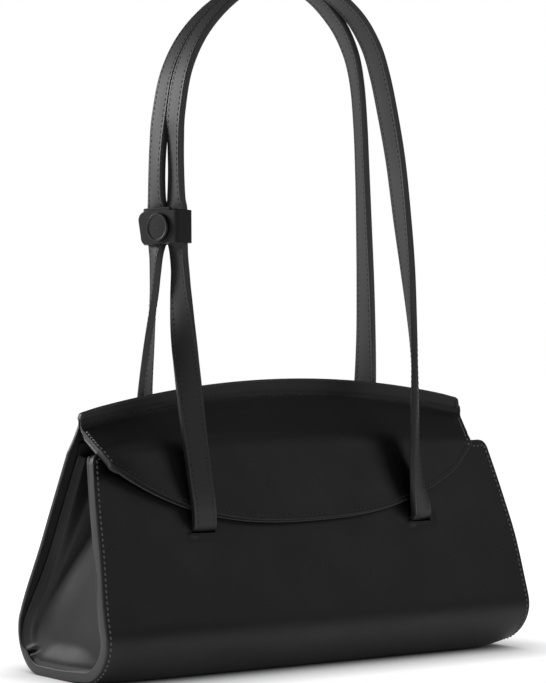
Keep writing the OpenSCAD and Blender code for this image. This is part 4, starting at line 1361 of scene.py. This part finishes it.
@dataclass
class Strap:
    """One strap of two layers, from a slit over the crown to the other slit."""

    name: str
    body: str
    route: tuple[tuple[float, float, float, float], ...]
    wall: Wall
    stitches: Stitches
    width: float = 15.0
    layer: float = 2.2
    seam_in: float = 2.1
    per_span: int = 8

    def stations(self) -> list[tuple[Vector, float, float]]:
        """Gives the strap's middle line with its turn and thickness share, ends drawn into the slits."""
        s = self.wall.value
        into = ((26.4, 85.8, 0.78), (29.2, 86.8, 0.78), (31.4, 87.9, 0.85), (32.7, 89.4, 0.95))
        first, last = self.route[0], self.route[-1]
        raw = [(Vector((first[0], s * y, z)), first[3], k) for y, z, k in into]
        raw += self._smooth()
        raw += [(Vector((last[0], s * y, z)), last[3], k) for y, z, k in reversed(into)]
        return raw

    def _smooth(self) -> list[tuple[Vector, float, float]]:
        """Gives points on a smooth curve through the route."""
        found = []
        route = self.route
        last = len(route) - 1
        for i in range(last):
            a, b, c, d = route[max(i - 1, 0)], route[i], route[i + 1], route[min(i + 2, last)]
            for k in range(self.per_span):
                t = k / self.per_span
                v = [0.5 * (2 * b[j] + (c[j] - a[j]) * t + (2 * a[j] - 5 * b[j] + 4 * c[j] - d[j]) * t * t
                            + (3 * b[j] - a[j] - 3 * c[j] + d[j]) * t**3) for j in range(4)]
                found.append((Vector(v[:3]), v[3], 1.0))
        found.append((Vector(route[last][:3]), route[last][3], 1.0))
        return found

    def frames(self) -> list[tuple[Vector, Vector, Vector, float]]:
        """Gives the middle, the direction of the width, the outward normal and the thickness share."""
        stops = self.stations()
        last = len(stops) - 1
        found = []
        for i, (p, turn, share) in enumerate(stops):
            along = (stops[min(i + 1, last)][0] - stops[max(i - 1, 0)][0]).normalized()
            flat = Vector((math.cos(math.radians(turn)), -math.sin(math.radians(turn)), 0))
            across = (flat - along * flat.dot(along)).normalized()
            found.append((p, across, across.cross(along), share))
        return found

    def side(self, sign: int) -> bpy.types.Object:
        """Builds the outer layer (1) or the lining layer (-1), slightly crowned."""
        frames = self.frames()
        us = [-1, -0.93, -0.84, -0.62, -0.3, 0, 0.3, 0.62, 0.84, 0.93, 1]
        half = self.width / 2
        points = [[p + across * (u * half) for u in us] for p, across, _, _ in frames]
        normals = [[out * sign] * len(us) for _, _, out, _ in frames]

        def depth(r: int, c: int) -> float:
            pressed = 0.24 * math.exp(-(((abs(us[c]) - 0.74) / 0.16) ** 2))
            pressed += 0.16 * smoothstep(0.8, 1, abs(us[c]))
            return (self.layer - pressed) * frames[r][3]

        kind = "outer" if sign > 0 else "inner"
        return Sheet(f"{self.name}_{kind}_leather", points, depth, Finish.STRAP, Finish.EDGE, bevel=0.5,
                     normals=normals).build()

    def rim(self, edge: int) -> list[tuple[Vector, Vector, float]]:
        """Gives the rim of one edge for its paint, with both layers' thickness."""
        half, layer = self.width / 2, self.layer - 0.17
        return [(p + across * (edge * half) + out * (layer * share), -out, 2 * layer * share) for p, across,
                out, share in self.frames()]

    def rows(self) -> list[list[tuple[Vector, Vector]]]:
        """Gives the stitch rows beside both edges, on both faces."""
        frames = self.frames()[4:-4]
        reach = self.width / 2 - self.seam_in
        rows = []
        for sign in (1, -1):
            for edge in (-1, 1):
                rows.append([(p + across * (edge * reach) + out * (sign * (self.layer - 0.32)), out * sign)
                             for p, across, out, _ in frames])
        return rows

    def build(self) -> None:
        """Builds both layers and the stitches."""
        s = self.wall.value
        bend = ("bag", self.body, (0, s * 34.4, 87.0), (0, s * 34.4, 104))
        first = "front" if self.wall is Wall.FRONT else "back"
        finish_piece(self.side(1), [f"{first}_strap_outer"], bend=bend)
        finish_piece(self.side(-1), [f"{first}_strap_lining"], bend=bend)
        for edge, side in ((-1, "first"), (1, "second")):
            finish_piece(paint_edge(f"{self.name}_{side}_paint", self.rim(edge), -edge, 0.4),
                         [], bend=bend)
        finish_piece(self.stitches.lay(f"{self.name}_stitches", self.rows()), [],
                     bend=bend)


@dataclass
class StrapTabs:
    """The sewn strap ends, which lie on the lining inside the body."""

    shape: BagShape
    wall: Wall
    stitches: Stitches
    width: float = 15.0
    thickness: float = 3.1
    top: float = 85.6
    low: float = 56.0

    def build(self) -> None:
        """Builds both ends as one piece each side of the body, with a sewn box."""
        shape, s = self.shape, self.wall.value
        name = "front" if self.wall is Wall.FRONT else "back"
        inset = shape.panel + shape.lining + 0.3
        slots = {}
        for x, side in zip(shape.slits(self.wall), ("left", "right")):
            heights = spread(self.low, self.top, 3.0)
            points: Grid = []
            for z in heights:
                p, _ = shape.on_wall(self.wall, 0, shape.t_at(z, shape.mouth), shape.mouth, inset)
                near = z - self.low
                half = self.width / 2 - (3 - math.sqrt(max(0.0, 9 - (3 - near) ** 2)) if near < 3 else 0.0)
                points.append([Vector((x + u * half, p.y, p.z))
                               for u in (-1, -0.9, -0.45, 0, 0.45, 0.9, 1)])
            normal = Vector((0, -s * math.cos(shape.lean), -math.sin(shape.lean)))
            # the strap ends' cut edges inside the body take the near-black paint: painted shade
            tab = Sheet(f"{name}_{side}_strap_end", points, self.thickness, Finish.STRAP, Finish.DARK_EDGE,
                        bevel=0.45, normals=[[normal] * 7 for _ in heights]).build()
            slots[side] = tab
            corners = [(-5, self.top - 4), (-5, self.low + 4), (5, self.low + 4), (5, self.top - 4),
                       (-5, self.top - 4)]
            row = []
            for dx, z in corners:
                p, _ = shape.on_wall(self.wall, 0, shape.t_at(z, shape.mouth), shape.mouth,
                                     inset + self.thickness)
                row.append((Vector((x + dx, p.y, p.z)), normal))
            legs = [[a, b] for a, b in zip(row[:-1], row[1:])]
            finish_piece(self.stitches.lay(f"{name}_{side}_end_stitches", legs), [], "bag")
        finish_piece(slots["left"], [f"{name}_strap_tabs"], "bag")
        finish_piece(slots["right"], [f"{name}_strap_tabs"], "bag")


@dataclass
class Keeper:
    """The loop round both left legs, with its tab and snap."""

    stitches: Stitches
    place: tuple[float, float, float] = (-88.1, -0.2, 270.0)
    turn: float = 76.0
    end_x: float = 13.2
    inner: float = 3.0
    thickness: float = 2.2
    gap: float = 0.25
    low: float = -10.0
    band_top: float = 12.4
    tab_top: float = 10.0
    free_x: float = -17.4
    corner_r: float = 5.0

    def at(self, x: float, y: float, z: float) -> Vector:
        """Turns a place on the keeper to a place in the bag's frame."""
        turned = Matrix.Rotation(math.radians(-self.turn), 3, "Z") @ Vector((x, y, 0))
        return Vector((self.place[0] + turned.x, self.place[1] + turned.y, self.place[2] + z))

    def along(self, x: float, y: float) -> Vector:
        """Turns a direction on the keeper to one in the bag's frame."""
        return Matrix.Rotation(math.radians(-self.turn), 3, "Z") @ Vector((x, y, 0))

    def band_path(self) -> list[tuple[float, float, float, float]]:
        """Gives the loop's inner face and outward normals, from the stud's end round the back."""
        r = self.inner
        path = [(x, -r, 0.0, -1.0) for x in spread(7.0, -self.end_x, 1.6)]
        for k in range(1, 12):
            a = math.radians(-90 - 15 * k)
            path.append((-self.end_x + r * math.cos(a), r * math.sin(a), math.cos(a), math.sin(a)))
        path += [(x, r, 0.0, 1.0) for x in spread(-self.end_x, 9.4, 1.6)]
        return path

    def tab_path(self) -> list[tuple[float, float, float, float]]:
        """Gives the tab's inner face and outward normals, from the loop's back to its free end."""
        r, over = self.inner, self.inner + self.thickness + self.gap
        path = [(x, r, 0.0, 1.0) for x in spread(9.45, self.end_x, 1.3)]
        for k in range(1, 6):
            a = math.radians(90 - 15 * k)
            path.append((self.end_x + r * math.cos(a), r * math.sin(a), math.cos(a), math.sin(a)))
        for k in range(0, 9):
            a = math.radians(90 / 8 * k)
            path.append((self.end_x + r * math.cos(a), -over * math.sin(a), math.cos(a), -math.sin(a)))
        path += [(x, -over, 0.0, -1.0) for x in merged(spread(self.free_x, self.end_x - 1.3, 1.5)
                                                       + [self.free_x + 0.25, self.free_x + 0.8],
                                                       0.2)[::-1]]
        return path

    def strip(self, name: str, path: list[tuple[float, float, float, float]], low: float, high: float,
              corner: bool) -> bpy.types.Object:
        """Builds a strip of the keeper's leather along a path seen from above."""
        levels = [0, 0.03, 0.08, 0.2, 0.35, 0.5, 0.65, 0.8, 0.92, 0.97, 1]
        middle, half = (low + high) / 2, (high - low) / 2
        points: Grid = []
        normals: Grid = []
        for x, y, nx, ny in path:
            reach = half
            near = x - self.free_x
            if corner and y < -4 and near < self.corner_r:
                left = self.corner_r**2 - (self.corner_r - near) ** 2
                reach = half - (self.corner_r - math.sqrt(max(0.0, left)))
            lean = 1.9 * max(0.0, 1 - near / 8) if corner and y < -4 else 0.0
            points.append([self.at(x + lean * (1 - k), y, middle + (2 * k - 1) * reach) for k in levels])
            normals.append([self.along(nx, ny)] * len(levels))
        return Sheet(name, points, self.thickness, Finish.KEEPER, Finish.EDGE, bevel=0.5,
                     normals=normals).build()

    def build(self) -> None:
        """Builds the loop and the tab."""
        band = self.strip("keeper_loop_leather", self.band_path(), self.low, self.band_top, False)
        finish_piece(band, ["keeper_band"], "keeper")
        tab = self.strip("keeper_tab_leather", self.tab_path(), self.low, self.tab_top, True)
        start, end = self.at(self.end_x + 4.1, 1.0, 0), self.at(self.end_x - 1.0, -6.0, 0)
        finish_piece(tab, ["keeper_tab"],
                     bend=("keeper", "keeper_tab", tuple(start), tuple(end)))


@dataclass
class Pocket:
    """The slip pocket on the back lining."""

    shape: BagShape
    stitches: Stitches
    width: float = 136.0
    low: float = 60.0
    top: float = 118.0
    room: float = 1.1
    thickness: float = 0.95

    def build(self) -> None:
        """Builds the pocket's panel, sewn flat at the sides and the bottom."""
        shape = self.shape
        normal = Vector((0, -math.cos(shape.lean), -math.sin(shape.lean)))
        points: Grid = []
        heights = spread(self.low, self.top, 3.2)
        xs = spread(-self.width / 2, self.width / 2, 3.4)
        for z in heights:
            line = []
            for x in xs:
                swell = smoothstep(0, 9, self.width / 2 - abs(x)) * smoothstep(0, 9, z - self.low)
                inset = shape.panel + shape.lining + 0.05 + self.room * swell
                p, _ = shape.on_wall(Wall.BACK, 0, shape.t_at(z, shape.mouth), shape.mouth, inset)
                line.append(Vector((x, p.y, p.z)))
            points.append(line)
        pocket = Sheet("pocket_suede", points, self.thickness, Finish.LINING, Finish.EDGE, bevel=0.25,
                       segments=2,
                       normals=[[normal] * len(xs) for _ in heights]).build()
        finish_piece(pocket, ["inner_pocket"], "bag")
        path = [(-1, self.top - 2), (-1, self.low + 2), (1, self.low + 2), (1, self.top - 2)]
        corners = []
        for side, z in path:
            p, _ = shape.on_wall(Wall.BACK, 0, shape.t_at(z, shape.mouth), shape.mouth,
                                 shape.panel + shape.lining + 0.05 + self.thickness)
            corners.append((Vector((side * (self.width / 2 - 2), p.y, p.z)), normal))
        rows = [[a, b] for a, b in zip(corners[:-1], corners[1:])]
        finish_piece(self.stitches.lay("pocket_stitches", rows), [], "bag")


# The studio


@dataclass
class Studio:
    """White sweep, soft lamps and the camera of the photograph."""

    focal_px: float = 2170.6
    frame_px: tuple[int, int] = (546, 683)
    yaw: float = 34.53
    pitch: float = -1.01
    roll: float = -0.44
    place: tuple[float, float, float] = (-0.78684, -1.12867, 0.17663)

    def camera(self) -> None:
        """Places the camera as fitted to the photograph, with no shift."""
        yaw, pitch, roll = (math.radians(a) for a in (self.yaw, self.pitch, self.roll))
        ahead = Vector((math.sin(yaw) * math.cos(pitch), math.cos(yaw) * math.cos(pitch), -math.sin(pitch)))
        level = Vector((math.cos(yaw), -math.sin(yaw), 0))
        up = level.cross(ahead)
        right = level * math.cos(roll) + up * math.sin(roll)
        top = up * math.cos(roll) - level * math.sin(roll)
        data = bpy.data.cameras.new("camera")
        data.sensor_width = 36.0
        data.lens = 36.0 * self.focal_px / max(self.frame_px)
        data.clip_start, data.clip_end = 0.05, 60
        camera = bpy.data.objects.new("camera", data)
        bpy.context.scene.collection.objects.link(camera)
        turn = Matrix((right, top, -ahead)).transposed().to_4x4()
        camera.matrix_world = Matrix.Translation(self.place) @ turn
        bpy.context.scene.camera = camera

    def floor(self) -> None:
        """Lays a white floor whose diffuse part keeps the bag's soft shadow, and whose glow is darkened near
        the bag by ambient occlusion: a painted contact shadow, darkest where the bag meets it.
        """
        deselect_all()
        bpy.ops.mesh.primitive_plane_add(size=40, location=(0, 0, 0))
        floor = bpy.context.object
        floor.name = "floor"
        material, tree, where = empty_material("white_floor")
        path = add_node(tree, "ShaderNodeLightPath")
        seen = add_node(tree, "ShaderNodeMath",
                        {0: path.outputs["Is Camera Ray"], 1: path.outputs["Is Transmission Ray"]},
                        operation="MAXIMUM")
        shown = add_node(tree, "ShaderNodeMath", {0: seen.outputs[0], 1: path.outputs["Is Glossy Ray"]},
                         operation="MAXIMUM")
        away = add_node(tree, "ShaderNodeVectorMath", {0: where}, operation="LENGTH")
        far = add_node(tree, "ShaderNodeMapRange",
                       {"Value": away.outputs["Value"], "From Min": 0.15, "From Max": 0.45, "To Min": 0.9,
                        "To Max": 1.0})
        # ambient occlusion dims the glow near the bag: a painted contact shadow
        painted_contact_shadow_ao = add_node(tree, "ShaderNodeAmbientOcclusion", {"Distance": 0.045}, samples=8)
        painted_shadow_share = add_node(tree, "ShaderNodeMath", {0: painted_contact_shadow_ao.outputs["AO"], 1: 1.5}, operation="POWER")
        level = add_node(tree, "ShaderNodeMath", {0: far.outputs["Result"], 1: painted_shadow_share.outputs[0]},
                         operation="MULTIPLY")
        glow = add_node(tree, "ShaderNodeMath", {0: level.outputs[0], 1: shown.outputs[0]},
                        operation="MULTIPLY")
        matt = add_node(tree, "ShaderNodeBsdfDiffuse", {"Color": linear("#c8c8c8")})
        light = add_node(tree, "ShaderNodeEmission", {"Color": (1, 1, 1, 1), "Strength": glow.outputs[0]})
        both = add_node(tree, "ShaderNodeAddShader", {0: matt.outputs[0], 1: light.outputs[0]})
        close_material(tree, both)
        floor.data.materials.append(material)

    def lamp(self, name: str, place: Sequence[float], aim: Sequence[float], size: tuple[float, float],
             watts: float) -> None:
        """Hangs one rectangular soft lamp that points at a place."""
        data = bpy.data.lights.new(name, "AREA")
        data.shape = "RECTANGLE"
        data.size, data.size_y = size
        data.energy = watts
        lamp = bpy.data.objects.new(name, data)
        bpy.context.scene.collection.objects.link(lamp)
        lamp.location = place
        lamp.rotation_euler = (Vector(aim) - Vector(place)).to_track_quat("-Z", "Y").to_euler()

    def world(self) -> None:
        """Gives a white surround that lights the bag only softly."""
        world = bpy.data.worlds.new("studio")
        bpy.context.scene.world = world
        world.use_nodes = True
        tree = world.node_tree
        tree.nodes.clear()
        path = add_node(tree, "ShaderNodeLightPath")
        seen = add_node(tree, "ShaderNodeMath",
                        {0: path.outputs["Is Camera Ray"], 1: path.outputs["Is Transmission Ray"]},
                        operation="MAXIMUM")
        level = add_node(tree, "ShaderNodeMapRange",
                         {"Value": seen.outputs[0], "To Min": 0.1, "To Max": 1.0})
        sky = add_node(tree, "ShaderNodeBackground",
                       {"Color": (1, 1, 1, 1), "Strength": level.outputs["Result"]})
        add_node(tree, "ShaderNodeOutputWorld", {"Surface": sky.outputs[0]})

    def build(self) -> None:
        """Builds the studio."""
        bpy.context.scene.view_settings.view_transform = "Standard"
        self.camera()
        self.floor()
        self.world()
        aim = (0, 0, 0.15)
        self.lamp("key_back_left", (-1.0, 1.46, 0.92), aim, (0.6, 0.6), 17)
        self.lamp("front_fill", (-0.4, -2.3, 1.0), aim, (1.6, 1.0), 4.6)
        self.lamp("front_right", (1.25, -1.41, 1.26), aim, (1.0, 0.8), 2.8)
        self.lamp("top", (0.5, -0.3, 1.7), aim, (1.0, 1.0), 1.2)


def dress_small_parts() -> None:
    """Gives the rigid parts that stay as modelled their finishes."""
    nodes = frame["nodes"]
    finishes = {"snap_cap": Finish.CAP, "snap_stud": Finish.NICKEL, "snap_post": Finish.NICKEL,
                "snap_socket": Finish.NICKEL,
                "front_magnets": Finish.NICKEL, "flap_magnets": Finish.NICKEL, "base_insert": Finish.BOARD}
    for name, finish in finishes.items():
        node = nodes[name]
        node.data.materials.clear()
        node.data.materials.append(finish.material())
        log.info("%s: %s", name, finish.value.name)


def main() -> None:
    """Builds the bag and its studio."""
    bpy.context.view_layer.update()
    shape = BagShape()
    stitches = Stitches()
    full = Stitches(length=2.1, width=1.2, hole=0.55)
    Studio().build()
    body = Body(shape, full)
    body.build()
    for end, name in ((-1, "left_gusset"), (1, "right_gusset")):
        finish_piece(Gusset(shape, body, end).build(), [name], "bag")
    Flap(shape, stitches, full).build()
    Strap("front_strap", "front_strap", FRONT_ROUTE, Wall.FRONT, stitches).build()
    Strap("back_strap", "back_strap", BACK_ROUTE, Wall.BACK, stitches).build()
    StrapTabs(shape, Wall.FRONT, stitches).build()
    StrapTabs(shape, Wall.BACK, stitches).build()
    Keeper(stitches).build()
    Pocket(shape, stitches).build()
    dress_small_parts()


if __name__ == "__main__":
    main()
